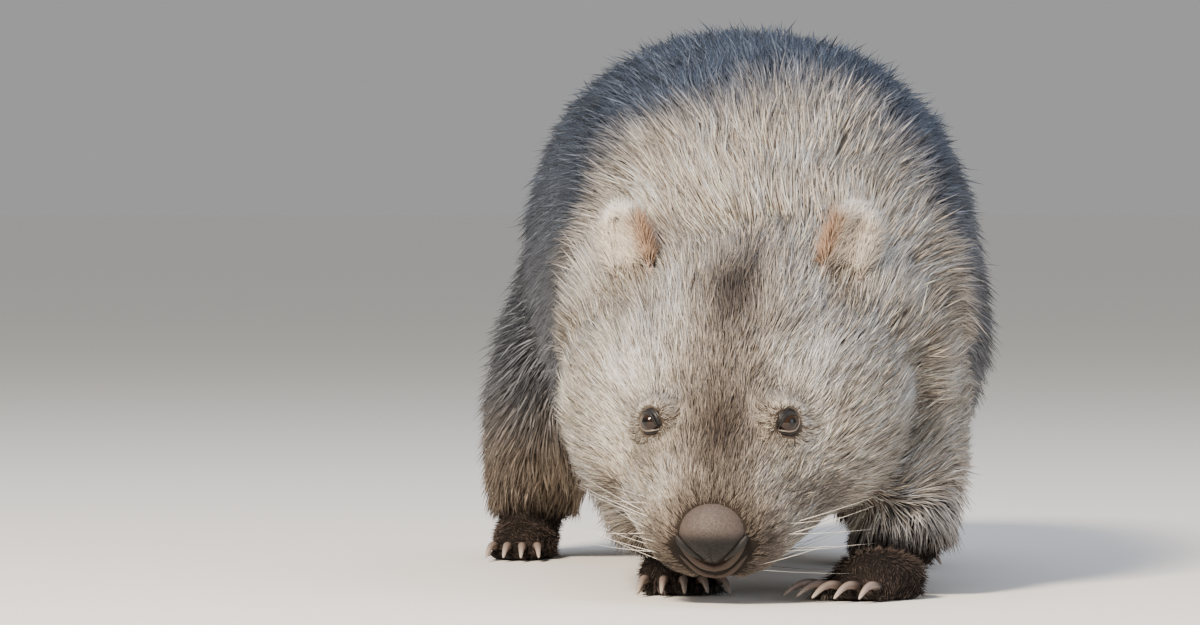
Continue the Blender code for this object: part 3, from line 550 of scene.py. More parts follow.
def coatLie(points, normals):
    # The coat lies along the skin: away from the nose on the head, backwards and down the flanks on the
    # body, down the chest and the legs, forwards on the toes and outwards round the eyes.
    p, h, isHead, low, onPaws = regions(points)
    fromNose = h - np.array([0, -0.020, -0.020])
    fromNose[:, 2] *= 0.7
    onHead = unit(fromNose) @ headTurn.T
    onHead += np.array([0, 0.35, 0.1]) * ramp(h[:, 1], 0.12, 0.22)[:, None]
    flank = ramp(np.abs(normals[:, 0]), 0.3, 0.9) * ramp(-p[:, 2], -0.34, -0.12)
    fall = ramp(-normals[:, 1], 0.3, 0.8) * (1 - ramp(normals[:, 2], 0.0, 0.3))
    onBody = np.stack([0.25 * normals[:, 0], 1 - 0.6 * fall, -0.22 - 0.65 * flank - 1.2 * fall], 1)
    onLeg = np.stack([0.1 * normals[:, 0], np.full(len(p), 0.35), np.full(len(p), -1.0)], 1)
    toes = np.stack([np.zeros(len(p)), np.full(len(p), -1.0), np.full(len(p), -0.3)], 1)
    lie = mixRows(unit(onBody), unit(onLeg), low)
    lie = mixRows(mixRows(lie, onHead, isHead), toes, onPaws)
    gap, away = eyeDistance(points)
    lie = mixRows(away, lie, ramp(gap, 0.010, 0.024))
    return unit(lie - normals * dot(lie, normals)[:, None])


coatHues = {  # sRGB of the hair's outer half and of its root
    "grey": ("#ebddcc", "#4d4238"),
    "cream": ("#f5e9d8", "#6d6053"),
    "white": ("#fcf9f4", "#a59c91"),
    "brow": ("#5c5048", "#241e1b"),
    "muzzle": ("#6a5b4e", "#2b231d"),
    # slate: the back's dark coat, tinted blue as painted shade lit by the sky
    "slateSkyShade": ("#667182", "#1e222b"),
    "rump": ("#87888c", "#38383c"),
    "leg": ("#a99a8a", "#4b3f35"),
    "foreleg": ("#c3c1c2", "#454446"),
    "paw": ("#54463f", "#211a17"),
    "rust": ("#9c6a3e", "#6b4526"),
}
hues = {name: (linear(tip), linear(root)) for name, (tip, root) in coatHues.items()}
faceSpots = (  # hue, share, middle and size on the head's own axes; each is on both sides
    ("cream", 0.70, (0.075, 0.075, -0.010), (0.030, 0.040, 0.035)),
    ("white", 0.60, (0.050, 0.182, 0.050), (0.018, 0.034, 0.040)),
    ("white", 0.95, (0.060, 0.120, 0.030), (0.020, 0.034, 0.030)),
    ("white", 0.55, (0.030, 0.036, 0.002), (0.010, 0.018, 0.018)),
    ("cream", 0.80, (0.055, 0.080, -0.004), (0.016, 0.016, 0.020)),
    ("brow", 0.55, (0.070, 0.062, -0.030), (0.020, 0.022, 0.018)),
    ("white", 0.90, (0.098, 0.222, 0.020), (0.020, 0.026, 0.030)),
    ("rust", 0.75, (0.062, 0.226, 0.030), (0.009, 0.020, 0.022)),
)
browSpots = (  # the same for those on the middle line
    ("brow", 1.00, (0.004, 0.176, 0.045), (0.026, 0.054, 0.040)),
    ("muzzle", 1.00, (0.000, 0.062, 0.035), (0.034, 0.064, 0.044)),
)


frontEdge = {  # where the light front of the coat gives way to the dark back with its painted bluish shade, in drawn metres
    "from": -0.218, "to": -0.112,  # along Y
    "bothSides": 0.095, "left": 0.078, "bend": 1.6,  # past these widths it comes forward, by this slope; on the left, away from the key lamp, further, as painted shade
    "patchy": 0.014, "wavy": 0.022,
}


def coatColour(points):
    # Linear colours of tip and root: a dark slate back, its blue tint painted shade lit by the sky, and a
    # greyer rump, a light front edge that soft waves bend and that painted shade pushes back on the left
    # side, legs, spots on the face and dark paws, all made lighter and darker by smaller waves.
    p, h, isHead, low, onPaws = regions(points)
    patchy = 0.5 * waves(points, 0.045, 3) + 0.3 * waves(points, 0.018, 4)
    toBack = p[:, 1] + frontEdge["bend"] * np.maximum(0, np.abs(p[:, 0]) - frontEdge["bothSides"])
    # on the left, the side turned from the key lamp, the dark back comes further forward: painted shade
    toBack = toBack + frontEdge["bend"] * np.maximum(0, p[:, 0] - frontEdge["left"])
    toBack = toBack + frontEdge["patchy"] * patchy + frontEdge["wavy"] * waves(points, 0.110, 5)
    front = 1 - ramp(toBack, frontEdge["from"], frontEdge["to"])
    flank = 0.75 * (1 - ramp(p[:, 2], 0.17, 0.33))
    fromNose = np.linalg.norm(h - muzzleMiddle, axis=1)
    tips = []
    for end in (0, 1):
        c = {name: pair[end] for name, pair in hues.items()}
        # the back's blue is painted shade lit by the sky; the rump and low flanks are greyer
        colour = mixRows(c["slateSkyShade"], c["rump"], np.maximum(ramp(p[:, 1], 0.12, 0.40), flank))
        colour = mixRows(colour, c["grey"], front)
        legTone = mixRows(c["foreleg"], c["leg"], ramp(p[:, 1], -0.15, 0.0))
        colour = mixRows(colour, legTone, low)
        onFace = mixRows(c["grey"], c["cream"], np.clip(0.35 + 0.4 * patchy, 0, 1) * 0.6)
        for name, share, middle, size in faceSpots:
            for side in (1, -1):
                onFace = mixRows(onFace, c[name], share * spot(h, np.array(middle) * (side, 1, 1), size))
        for name, share, middle, size in browSpots:
            onFace = mixRows(onFace, c[name], share * spot(h, middle, size))
        onFace = mixRows(onFace, c["muzzle"], 0.85 * (1 - ramp(fromNose, 0.030, 0.060)))
        colour = mixRows(colour, onFace, ramp(isHead, 0.1, 0.6))
        colour = mixRows(colour, c["paw"], np.clip(onPaws * 1.2, 0, 1))
        tips.append(colour * (1 + 0.28 * patchy)[:, None])
    return tips


# Materials

def addNode(tree, kind, inputs=None, links=None, **settings):  # a node with its settings and links
    node = tree.nodes.new(kind)
    for key, value in settings.items():
        setattr(node, key, value)
    for key, value in (inputs or {}).items():
        node.inputs[key].default_value = value
    for key, source in (links or {}).items():
        tree.links.new(source, node.inputs[key])
    return node


def newMaterial(name, roughness, specular, **sockets):
    material = bpy.data.materials.new(name)
    material.use_nodes = True
    tree = material.node_tree
    shader = tree.nodes["Principled BSDF"]
    shader.inputs["Roughness"].default_value = roughness
    shader.inputs["Specular IOR Level"].default_value = specular
    for key, value in sockets.items():
        shader.inputs[key.replace("_", " ")].default_value = value
    return material, tree, shader


def tinted(name, roughness, specular, size, shades, detail=2.0, bump=None, **sockets):
    # The piece's own colour times a soft noise of that size in metres, from the first shade to the second.
    # With a bump, the noise also stands out by that strength and depth.
    material, tree, shader = newMaterial(name, roughness, specular, **sockets)
    place = addNode(tree, "ShaderNodeTexCoord")
    tint = addNode(tree, "ShaderNodeAttribute", attribute_name="coatColour")
    noise = addNode(tree, "ShaderNodeTexNoise", {"Scale": 1 / size, "Detail": detail},
                    {"Vector": place.outputs["Object"]})
    low, high, *span = shades
    limits = {"From Min": span[0], "From Max": span[1]} if span else {}
    level = addNode(tree, "ShaderNodeMapRange", {"To Min": low, "To Max": high, **limits},
                    {"Value": noise.outputs["Fac"]})
    colour = addNode(tree, "ShaderNodeVectorMath", None,
                     {0: tint.outputs["Color"], "Scale": level.outputs["Result"]}, operation="SCALE")
    tree.links.new(colour.outputs["Vector"], shader.inputs["Base Color"])
    if bump:
        raised = addNode(tree, "ShaderNodeBump", {"Strength": bump[0], "Distance": bump[1]},
                         {"Height": noise.outputs["Fac"]})
        tree.links.new(raised.outputs["Normal"], shader.inputs["Normal"])
    return material


def noseMaterial():
    # Bare, thick, pebbled skin: granules about 1.3 mm across, glossier on top and darker between.
    material, tree, shader = newMaterial("pebbledNoseSkin", 0.55, 0.35)
    place = addNode(tree, "ShaderNodeTexCoord")
    tint = addNode(tree, "ShaderNodeAttribute", attribute_name="coatColour")
    pebbles = addNode(tree, "ShaderNodeTexVoronoi", {"Scale": 1 / nosePebble},
                      {"Vector": place.outputs["Object"]})
    level = addNode(tree, "ShaderNodeMapRange", {"From Max": 0.7, "To Min": 1.12, "To Max": 0.72},
                    {"Value": pebbles.outputs["Distance"]})
    colour = addNode(tree, "ShaderNodeVectorMath", None,
                     {0: tint.outputs["Color"], "Scale": level.outputs["Result"]}, operation="SCALE")
    bump = addNode(tree, "ShaderNodeBump", {"Strength": 0.5, "Distance": -0.0005},
                   {"Height": pebbles.outputs["Distance"]})
    gloss = addNode(tree, "ShaderNodeMapRange", {"From Max": 0.7, "To Min": 0.46, "To Max": 0.68},
                    {"Value": pebbles.outputs["Distance"]})
    tree.links.new(colour.outputs["Vector"], shader.inputs["Base Color"])
    tree.links.new(bump.outputs["Normal"], shader.inputs["Normal"])
    tree.links.new(gloss.outputs["Result"], shader.inputs["Roughness"])
    return material


nosePebble = 0.0013  # metres across
materials = {
    # Keratin hair: a dull, soft gloss. Each tuft carries its own colour from root to tip, and streaks of
    # 1.6 mm, drawn coarser than single hairs so that they show, vary it.
    "hair": tinted("keratinHair", 0.62, 0.28, 0.0016, (0.82, 1.16, 0.3, 0.7)),
    # Hide under dense underfur: matt, the hair's own markings darkened, with a felt-like grain of 1.4 mm.
    "skin": tinted("hideAndUnderfur", 0.85, 0.2, 0.0014, (0.75, 1.1), 3.0, (0.6, 0.0008)),
    "nose": noseMaterial(),
    # Bare, creased skin with a grain of 1 mm or a little more: moist on the lids, duller on ears and lips.
    "lids": tinted("bareLidSkin", 0.45, 0.45, 0.0010, (0.75, 1.2), 3.0, (0.5, 0.0004)),
    "ears": tinted("bareEarSkin", 0.60, 0.45, 0.0015, (0.75, 1.2), 3.0, (0.5, 0.0006)),
    "lips": tinted("softLipSkin", 0.62, 0.45, 0.0010, (0.75, 1.2), 3.0, (0.5, 0.0004)),
    # A wet cornea over a dark brown iris: almost mirror-smooth, with the tear film as a thin clear coat.
    "eye": tinted("wetCornea", 0.06, 0.3, 0.0009, (0.7, 1.3), Coat_Weight=0.35, Coat_Roughness=0.03),
    # Horn: pale greyish pink, darker at the root, mottled by growth at about 1 mm, worn to a soft gloss.
    "horn": tinted("horn", 0.38, 0.5, 0.0011, (0.75, 1.2)),
}


# Skin

nape = {"at": (-0.030, -0.262, 0.245), "size": 0.075, "steps": 20, "rounds": 90}


def smoothNape(piece):  # evens out the fold between crown and neck, where the coat lies closed
    gap = np.linalg.norm(toDrawn(vertsOf(piece.data)) - np.array(nape["at"]), axis=1)
    group = piece.vertex_groups.new(name="nape")
    inside = np.flatnonzero(gap < nape["size"])
    shares = 1 - ramp(gap[inside], 0.5 * nape["size"], nape["size"])
    level = (shares * (nape["steps"] - 0.01)).astype(int)
    for step in range(nape["steps"]):
        group.add(inside[level == step].tolist(), step / (nape["steps"] - 1), "REPLACE")
    even = piece.modifiers.new("nape", "SMOOTH")
    even.iterations = nape["rounds"]
    even.vertex_group = "nape"
    applyModifiers(piece)
    piece.vertex_groups.clear()


points, faces = bodySurface()
print("body surface", len(points), "points")
skin = newPiece("skin", toFrame(points), faces, materials["skin"])
smoothNape(skin)
outerVerts = vertsOf(skin.data)
outerNormals = normalsOf(skin.data)
depth = coatDepth(outerVerts)
depth = np.where(outerVerts[:, 2] < 0.004, 0.0, depth)
innerVerts = setEyes(outerVerts - outerNormals * depth[:, None])
innerVerts[:, 2] = aboveFloor(innerVerts[:, 2])
setVerts(skin.data, innerVerts)


def unwrap(piece):  # an unwrap of the piece's own shape, in the map that the coat shares
    piece.data.uv_layers.new(name="OFBake")
    bpy.context.view_layer.objects.active = piece
    piece.select_set(True)
    bpy.ops.object.mode_set(mode="EDIT")
    bpy.ops.mesh.select_all(action="SELECT")
    bpy.ops.uv.smart_project(angle_limit=math.radians(66), island_margin=0.003)
    bpy.ops.object.mode_set(mode="OBJECT")
    piece.select_set(False)


unwrap(skin)
skinNodes = ["head", "neck", "chest", "loin", "rump", "tail"]
limbs = ("foreleg", "hindleg", "forepaw", "hindpaw")
skinNodes += [limb + side for limb in limbs for side in ("_left", "_right")]
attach(skin, "root")
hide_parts(*skinNodes)
print("skin", len(skin.data.polygons), "faces")


# Eyes and lids

def aroundGaze(side, angle, phi, radius):  # points at an angle from the gaze, turned by phi from the corner
    middle, outer, down, gaze = eyeAxes(side)
    sideways = np.cos(phi)[..., None] * outer + np.sin(phi)[..., None] * down
    away = np.sin(angle)[..., None] * sideways + np.cos(angle)[..., None] * gaze
    return middle + radius[..., None] * away


def eyeBall(side, name):
    # A sphere on polar rings about the gaze, whose front bulges by a cornea and darkens from iris to pupil.
    middle, _, _, gaze = eyeAxes(side)
    theta = np.linspace(0.02, math.pi - 0.02, 48)[:, None]
    phi = np.linspace(0, 2 * math.pi, 48, endpoint=False)[None, :]
    bulge = 1 + 0.05 * (1 - ramp(np.degrees(theta), 10, 42))
    radius = eyes["radius"] * scale * 0.985 * bulge
    verts, quads = capped(aroundGaze(side, theta, phi, radius + 0 * phi), 48, 48)
    piece = newPiece(name, verts, quads, materials["eye"])
    fromGaze = np.degrees(np.arccos(np.clip(dot(unit(verts - middle), gaze), -1, 1)))
    black, brown, rim, rest = (linear(code) for code in eyes["hues"])
    colour = mixRows(black, brown, ramp(fromGaze, eyes["pupil"] - 1, eyes["pupil"] + 2))
    colour = mixRows(colour, rim, ramp(fromGaze, eyes["iris"] - 8, eyes["iris"]))
    colour = mixRows(colour, rest, ramp(fromGaze, eyes["iris"] + 6, eyes["iris"] + 14))
    setColour(piece.data, "coatColour", colour)
    return piece


def lids(side, name):
    # Polar rings about the gaze, from inside the opening over the lids' edge and out under the coat.
    # The opening is an almond, a superellipse of half angles that draws out to the inner corner. The
    # upper lid is heavier than the lower one, and fine folds run round both.
    phi = np.linspace(0, 2 * math.pi, 120, endpoint=False)[None, :]
    t = np.linspace(0, 1, 40)[:, None]
    wide, narrow = eyes["opening"]
    n = eyes["pointed"]
    opening = (np.abs(np.cos(phi) / wide) ** n + np.abs(np.sin(phi) / narrow) ** n) ** (-1 / n)
    opening = opening + 10 * np.exp(-((np.angle(np.exp(1j * (phi - math.pi))) / 0.22) ** 2))
    upper = ramp(-np.sin(phi), -0.3, 0.6) + 0 * t
    angle = np.radians(opening - 8 + t * (112 - opening))
    edge = ramp(t, 0.03, 0.12)
    crest = np.exp(-((t - 0.17) / 0.075) ** 2) * mix(0.07, 0.22, upper)
    folds = 0.020 * np.sin(t * 46 + 0.7 * np.sin(3 * phi)) * ramp(t, 0.22, 0.4) * (1 - ramp(t, 0.7, 0.95))
    reach = 0.97 + 0.07 * edge + crest + 0.10 * ramp(t, 0.25, 0.6) + folds
    radius = eyes["radius"] * scale * reach
    points = aroundGaze(side, angle, phi, radius)
    piece = newPiece(name, points.reshape(-1, 3), gridFaces(40, 120), materials["lids"])
    wall = piece.modifiers.new("thickness", "SOLIDIFY")
    wall.thickness = 0.0004
    wall.offset = -1
    dark, mid, pale, outerHue = (linear(code) for code in eyes["lidHues"])
    # the upper lid darker than the lower: painted shade under the brow over dark lid skin
    colour = mixRows(mid, dark, np.clip(upper + 0.25, 0, 1))
    colour = mixRows(colour, outerHue, ramp(t + 0 * phi, 0.3, 0.6))
    rim = np.exp(-((t - 0.115) / 0.035) ** 2) * (1 - upper)
    setColour(piece.data, "coatColour", mixRows(colour, pale, 0.85 * rim).reshape(-1, 3))
    return piece


for side, word in ((1, "left"), (-1, "right")):
    eyePiece = eyeBall(side, "eyeball" + word.capitalize())
    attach(eyePiece, "root")
    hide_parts("eye_" + word)
    lidPiece = lids(side, "lids" + word.capitalize())
    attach(lidPiece, "root")
print("eyes and lids")


# Nose pad, lips and mouth

nose = {
    "size": (0.0243, 0.0205, 0.0218), "at": (0, 0.0035, 0.001),
    "narrow": 0.60, "from": -0.10,  # how much its sides draw in, and from which share of its height
    "relief": 0.00022, "hues": ("#574c47", "#0f0b09", "#060303"),  # top, lighter as painted light; underside, darker as painted shade; groove, darker as painted shade
    "nostril": ((1.00, -0.10), (0.84, -0.36), (0.60, -0.62), (0.34, -0.86)),  # shares of width and height
    "nostrilWidth": (0.0012, 0.0030, 0.0027, 0.0010),
}
lookUp = np.array([0, 0.756, 0.642])  # up in the view on the muzzle, in the head's axes
lookOut = np.array([0, -0.642, 0.756])  # towards the viewer in it
noseTall = math.hypot(lookUp[1] * nose["size"][1], lookUp[2] * nose["size"][2])


def nosePad():
    # An ellipsoid made a shield: seen from the front and above, its top is a dome and its sides draw in
    # to a blunt point. Fine pebbles cover it, and a shallow line runs down its lower half.
    size = np.array(nose["size"])
    verts, quads = ball((0, 0, 0), (1, 1, 1), None, 170, 120)
    h = verts * size
    s = (h @ lookUp) / noseTall
    taper = nose["narrow"] * np.clip((nose["from"] - s) / (1 + nose["from"]), 0, 1) ** 1.25
    h[:, 0] *= 1 - taper
    outward = unit(verts / size)
    groove = np.exp(-((h[:, 0] / 0.0009) ** 2)) * ramp(-s, 0.35, 0.7)
    wing = np.exp(-(((np.abs(h[:, 0]) - 0.017) / 0.006) ** 2)) * ramp(-s, -0.2, 0.4)
    cell, _ = cells(h, nosePebble, 5)
    pebbles = nose["relief"] * (1 - ramp(np.linalg.norm(cell - h, axis=1), 0.0001, 0.0008))
    h = h + outward * (pebbles + 0.0012 * wing - 0.0009 * groove)[:, None] + np.array(nose["at"])
    piece = newPiece("nosePad", fromHead(h), quads, materials["nose"])
    top, shadedUnderside, dark = (linear(code) for code in nose["hues"])
    # lighter on top and darker underneath: painted light on the top and painted shade under it
    colour = mixRows(top, shadedUnderside, ramp(-s, -0.18, 0.36))
    # the groove darkened as painted shade
    setColour(piece.data, "coatColour", mixRows(colour, dark, 0.6 * groove))
    return piece


mouth = {  # lips from the middle outwards: to the side and up in the view on the muzzle, in drawn metres
    "upper": ((0.000, -0.0212), (0.0075, -0.0194), (0.0135, -0.0152), (0.0190, -0.0092), (0.0228, -0.0035)),
    "upperWidth": (0.0036, 0.0036, 0.0032, 0.0024, 0.0010),
    "lower": ((0.000, -0.0268), (0.008, -0.0252), (0.0145, -0.0210), (0.0200, -0.0155), (0.0245, -0.0105)),
    "lowerWidth": (0.0026, 0.0026, 0.0022, 0.0016, 0.0008),
    # the last hue is near-black painted shade for inside the nostrils
    "hues": ("#37281f", "#16110e"), "nostrilShadowHue": "#0a0605",
    "bare": (0.0042, 0.0066),  # from the middle of the lips to where the hair starts
}


def onMuzzle(path, lift):  # where lines of sight on the muzzle meet the skin, in frame metres
    out = lookOut @ headTurn.T
    places = []
    for x, up in path:
        start = fromHead(np.array([x, 0, 0]) + lookUp * up + lookOut * 0.05)
        met = skinFinder.ray_cast(Vector(start), Vector(-out))[0]
        met = met or skinFinder.find_nearest(Vector(start - out * 0.045))[0]
        places.append(np.array(met) + out * lift)
    return np.array(places)


def faceBar(name, path, widths, lift, flat, hueCodes, bothSides):
    # A soft bar laid along a path on the muzzle, over both sides or on one. Its colour fades outwards.
    rows = spline([(*point, width) for point, width in zip(path, widths)], 8)
    sides = [np.vstack([rows[:0:-1] * (-1, 1, 1), rows])] if bothSides else [rows * (-1, 1, 1), rows]
    bars = [sweep(onMuzzle(side[:, :2], lift), side[:, 2] * scale, 16, flat) for side in sides]
    verts, quads = joined(bars)
    piece = newPiece(name, verts, quads, materials["lips"])
    near, far = (linear(code) for code in hueCodes)
    share = ramp(np.abs(headPoints(verts)[:, 0]), 0.010, 0.034)
    setColour(piece.data, "coatColour", mixRows(near, far, share))
    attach(piece, "root")


def distanceToPath(points, path):  # shortest distance from each point to a line through the path's points
    best = np.full(len(points), np.inf)
    for a, b in zip(path[:-1], path[1:]):
        t = np.clip(((points - a) @ (b - a)) / dot(b - a, b - a), 0, 1)
        best = np.minimum(best, np.linalg.norm(points - a - t[:, None] * (b - a), axis=1))
    return best


def bareLips(h):  # 1 on the bare skin between the nose pad and the mouth, by points in the head's axes
    flat = np.stack([np.abs(h[:, 0]), h @ lookUp], 1)
    middle = (np.array(mouth["upper"]) + np.array(mouth["lower"])) / 2
    return (1 - ramp(distanceToPath(flat, middle), *mouth["bare"])) * (h[:, 1] < 0.04) * (h[:, 2] > -0.07)


skinVerts = vertsOf(skin.data)
skinFinder = BVHTree.FromPolygons(skinVerts.tolist(), [tuple(face.vertices) for face in skin.data.polygons])
nosePiece = nosePad()
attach(nosePiece, "root")
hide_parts("nose")
faceBar("lipUpper", mouth["upper"], mouth["upperWidth"], -0.0006, 0.75, mouth["hues"], True)
faceBar("lipLower", mouth["lower"], mouth["lowerWidth"], -0.0010, 0.75, mouth["hues"], True)
noseHigh = np.array(nose["at"]) @ lookUp
# dark bars along the nostril slits stand for the shade inside the openings: painted shade
slits = [(across * nose["size"][0], high * noseTall + noseHigh) for across, high in nose["nostril"]]
faceBar("nostrilShadows", slits, nose["nostrilWidth"], 0.0012, 1.0, (mouth["nostrilShadowHue"], mouth["nostrilShadowHue"]), False)
skinHue = coatColour(skinVerts)[1] * 0.6
skinHue = mixRows(skinHue, linear(mouth["hues"][1]), bareLips(headPoints(skinVerts)))
setColour(skin.data, "coatColour", skinHue)
print("nose and lips")


# Ears

def earAxes(side):  # root, along, across and facing of one ear in the head's axes
    mirror = np.array([side, 1, 1])
    along = unit(np.array(ears["along"]) * mirror)
    facing = np.array(ears["facing"]) * mirror
    facing = unit(facing - along * dot(facing, along))
    return np.array(ears["at"]) * mirror - along * ears["sunk"], along, np.cross(along, facing), facing


def earSheet(side, u, v):
    # A leaf in two parameters: u from edge to edge, v from root to tip. It is widest above the middle,
    # rounds off like an ellipse and cups towards the front.
    root, along, across, facing = earAxes(side)
    roundOff = np.sqrt(np.maximum(0.0, 1 - (np.maximum(0.0, v - 0.5) / 0.5) ** 2))
    half = ears["width"] / 2 * (0.84 + 0.16 * np.minimum(1, v / 0.5)) * roundOff
    cup = ears["cup"] * (u * u - 0.45) * (1 - 0.3 * v) + 0.010 * (1 - v) * v
    length = ears["length"] + ears["sunk"]
    middle = root + along * (length * v)[..., None]
    return middle + across * (half * u)[..., None] + facing * cup[..., None]


def ear(side, name):  # the leaf with its wall, closer rows towards the round tip
    u = np.linspace(-1, 1, 33)[None, :]
    v = np.sin(0.5 * math.pi * np.linspace(0, 1, 34) ** 0.9)[:, None] * 0.999
    sheet = fromHead(earSheet(side, u + 0 * v, v + 0 * u).reshape(-1, 3))
    piece = newPiece(name, sheet, gridFaces(34, 33, False), materials["ears"])
    bare, edge = (linear(code) for code in ears["hues"])
    share = ramp(np.maximum(np.abs(u) + 0 * v, v), 0.55, 0.98)
    setColour(piece.data, "coatColour", mixRows(bare, edge, share).reshape(-1, 3))
    wall = piece.modifiers.new("wall", "SOLIDIFY")
    wall.thickness = ears["wall"] * scale
    wall.offset = 0
    applyModifiers(piece)
    turnOutward(piece)
    unwrap(piece)
    return piece


earPieces = []
for side, word in ((1, "left"), (-1, "right")):
    piece = ear(side, "ear" + word.capitalize())
    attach(piece, "root")
    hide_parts("ear_" + word)
    earPieces.append((side, word, piece))
print("ears")


# Claws

claws = {"hues": ("#3d322e", "#84746c", "#a89a90"), "from": 0.010, "tipAt": 0.0022}


def claw(place, middle, turn, length, name, node):
    # A horn swept along an arc that leaves the toe, tapers and drops to the ground.
    heading = place @ Matrix.Translation(middle) @ Matrix.Rotation(math.radians(turn), 4, "Z")
    t = np.linspace(0, 1, 18)
    drop = middle.z - claws["tipAt"]
    rise = 0.0015 + 0.003 * np.sin(math.pi * t) - drop * t ** 1.6
    path = np.stack([0 * t, -claws["from"] - length * t, rise], 1)
    radii = paw["clawRadius"] * (0.85 * (1 - t) ** 0.6 + 0.16)
    verts, quads = sweep(path, radii, 14, 0.92)
    local = verts @ np.array(heading.to_3x3()).T + np.array(heading.translation)
    piece = newPiece(name, toFrame(local), quads, materials["horn"])
    root, mid, tip = (linear(code) for code in claws["hues"])
    share = np.clip((-verts[:, 1] - claws["from"]) / length, 0, 1)
    colour = mixRows(root, mid, ramp(share, 0.05, 0.45))
    setColour(piece.data, "coatColour", mixRows(colour, tip, ramp(share, 0.6, 1.0)))
    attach(piece, "root")
    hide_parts(node)


for name, heel, heading, length, width in paws:
    number = 0
    for middle, turn, clawed in toesOf(name, length, width):
        if clawed:
            number += 1
            reach = paw["claw"]["fore" if name.startswith("fore") else "hind"]
            label = "claw" + "".join(word.capitalize() for word in name.split("_")) + str(number)
            claw(pawFrame(heel, heading), middle, turn, reach, label, f"claw_{name}_{number}")
print("claws")


# Coat

tufts = {  # for each region: slot, bent tufts, straight tufts, width at the root in mm, clumps' size in mm
    "head": ("coat_head", 14000, 84000, 1.05, 5.0),
    "neck": ("coat_head", 16000, 30000, 1.35, 8.0),
    "trunk": ("coat_back", 24000, 52000, 1.60, 10.0),
    "legs": ("coat_leg", 9000, 26000, 1.35, 8.0),
    "paws": ("paw_coat", 0, 12000, 1.0, 5.0),
}
coatLimit = 190000  # triangles in a piece
bakePatch = 0.003  # how wide and high each tuft's place is on the unwrapped skin


def rootsOn(piece, weight, count, draw):
    # Spreads roots over the triangles by area and weight, evenly along their running sum.
    mesh = piece.data
    mesh.calc_loop_triangles()
    triangles = len(mesh.loop_triangles)
    corners, loops = np.empty(triangles * 3, np.int32), np.empty(triangles * 3, np.int32)
    mesh.loop_triangles.foreach_get("vertices", corners)
    mesh.loop_triangles.foreach_get("loops", loops)
    corners, loops = corners.reshape(-1, 3), loops.reshape(-1, 3)
    verts, normals = vertsOf(mesh), normalsOf(mesh)
    a, b, c = (verts[corners[:, i]] for i in range(3))
    area = np.linalg.norm(np.cross(b - a, c - a), axis=1) / 2 * weight((a + b + c) / 3)
    total = np.cumsum(area)
    pick = np.searchsorted(total, (np.arange(count) + draw.uniform(size=count)) / count * total[-1])
    pick = np.minimum(pick, triangles - 1)
    r, s = np.sqrt(draw.uniform(size=count)), draw.uniform(size=count)
    shares = np.stack([1 - r, r * (1 - s), r * s], 1)[..., None]
    at = (verts[corners[pick]] * shares).sum(axis=1)
    facing = unit((normals[corners[pick]] * shares).sum(axis=1))
    flat = np.empty(len(mesh.loops) * 2, np.float32)
    mesh.uv_layers["OFBake"].data.foreach_get("uv", flat)
    uv = (flat.reshape(-1, 2)[loops[pick]] * shares).sum(axis=1)
    return {"at": at, "facing": facing, "uv": uv}


def growTufts(name, roots, bent, draw):
    # Each tuft is a slim three-sided spike that lies along the coat. A bent one leaves the skin more
    # steeply, then turns over to the lie. Its tip is drawn towards the middle of its clump.
    at, facing, lie, length, angle, width = (
        roots[key] for key in ("at", "facing", "lie", "length", "angle", "width")
    )
    count = len(at)
    twist = draw.uniform(0, math.pi, size=(count, 1))
    side = np.cross(facing, lie)
    shares = (0.0, 0.45, 1.0) if bent else (0.0, 1.0)
    verts, hue = [], []
    for share in shares:
        rise = np.sin(angle) * (1.45 * share - 0.5 * share ** 2 if bent else share)
        run = np.cos(angle) * share
        middle = at + length[:, None] * (lie * run[:, None] + facing * rise[:, None])
        middle = middle + roots["pull"] * share ** 2
        tone = mixRows(roots["rootHue"], roots["tipHue"], np.full(count, share))
        if share == 1:
            verts.append(middle)
            hue.append(tone)
            continue
        middle = middle - facing * 0.0010 * (share == 0)
        half = (width * (0.9 if share else 1.0) / 2)[:, None]
        for turn in (0, 1, 2):
            spin = twist + turn * 2 * math.pi / 3
            verts.append(middle + half * (side * np.cos(spin) + np.cross(lie, side) * np.sin(spin)))
            hue.append(tone)
    verts, hue = np.stack(verts, 1), np.stack(hue, 1)
    verts[..., 2] = aboveFloor(verts[..., 2])
    per = verts.shape[1]
    tip = per - 1
    one = [(2, 1, 0)]
    for corner in range(3):
        after = (corner + 1) % 3
        if bent:
            one += [(corner, after, 3 + after), (corner, 3 + after, 3 + corner)]
        one.append((tip - 3 + corner, tip - 3 + after, tip))
    one = np.array(one, np.int32)
    faces = (one[None] + (np.arange(count) * per)[:, None, None]).reshape(-1, 3)
    mesh = bpy.data.meshes.new(name)
    mesh.vertices.add(count * per)
    mesh.vertices.foreach_set("co", verts.astype(np.float32).ravel())
    mesh.loops.add(len(faces) * 3)
    mesh.loops.foreach_set("vertex_index", faces.ravel())
    mesh.polygons.add(len(faces))
    mesh.polygons.foreach_set("loop_start", np.arange(len(faces), dtype=np.int32) * 3)
    mesh.polygons.foreach_set("use_smooth", np.ones(len(faces), bool))
    mesh.update(calc_edges=True)
    setColour(mesh, "coatColour", hue.reshape(-1, 3))
    patch = np.zeros((per, 2))
    patch[:, 0] = (np.arange(per) % 3 - 1) * bakePatch / 2
    patch[:, 1] = (np.arange(per) // 3) / (per // 3) * bakePatch - bakePatch / 2
    spread = (roots["uv"][:, None] + patch[None]).reshape(-1, 2)[faces.ravel()]
    mesh.uv_layers.new(name="OFBake").data.foreach_set("uv", spread.astype(np.float32).ravel())
    mesh.materials.append(materials["hair"])
    piece = bpy.data.objects.new(name, mesh)
    bpy.context.scene.collection.objects.link(piece)
    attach(piece, "root")


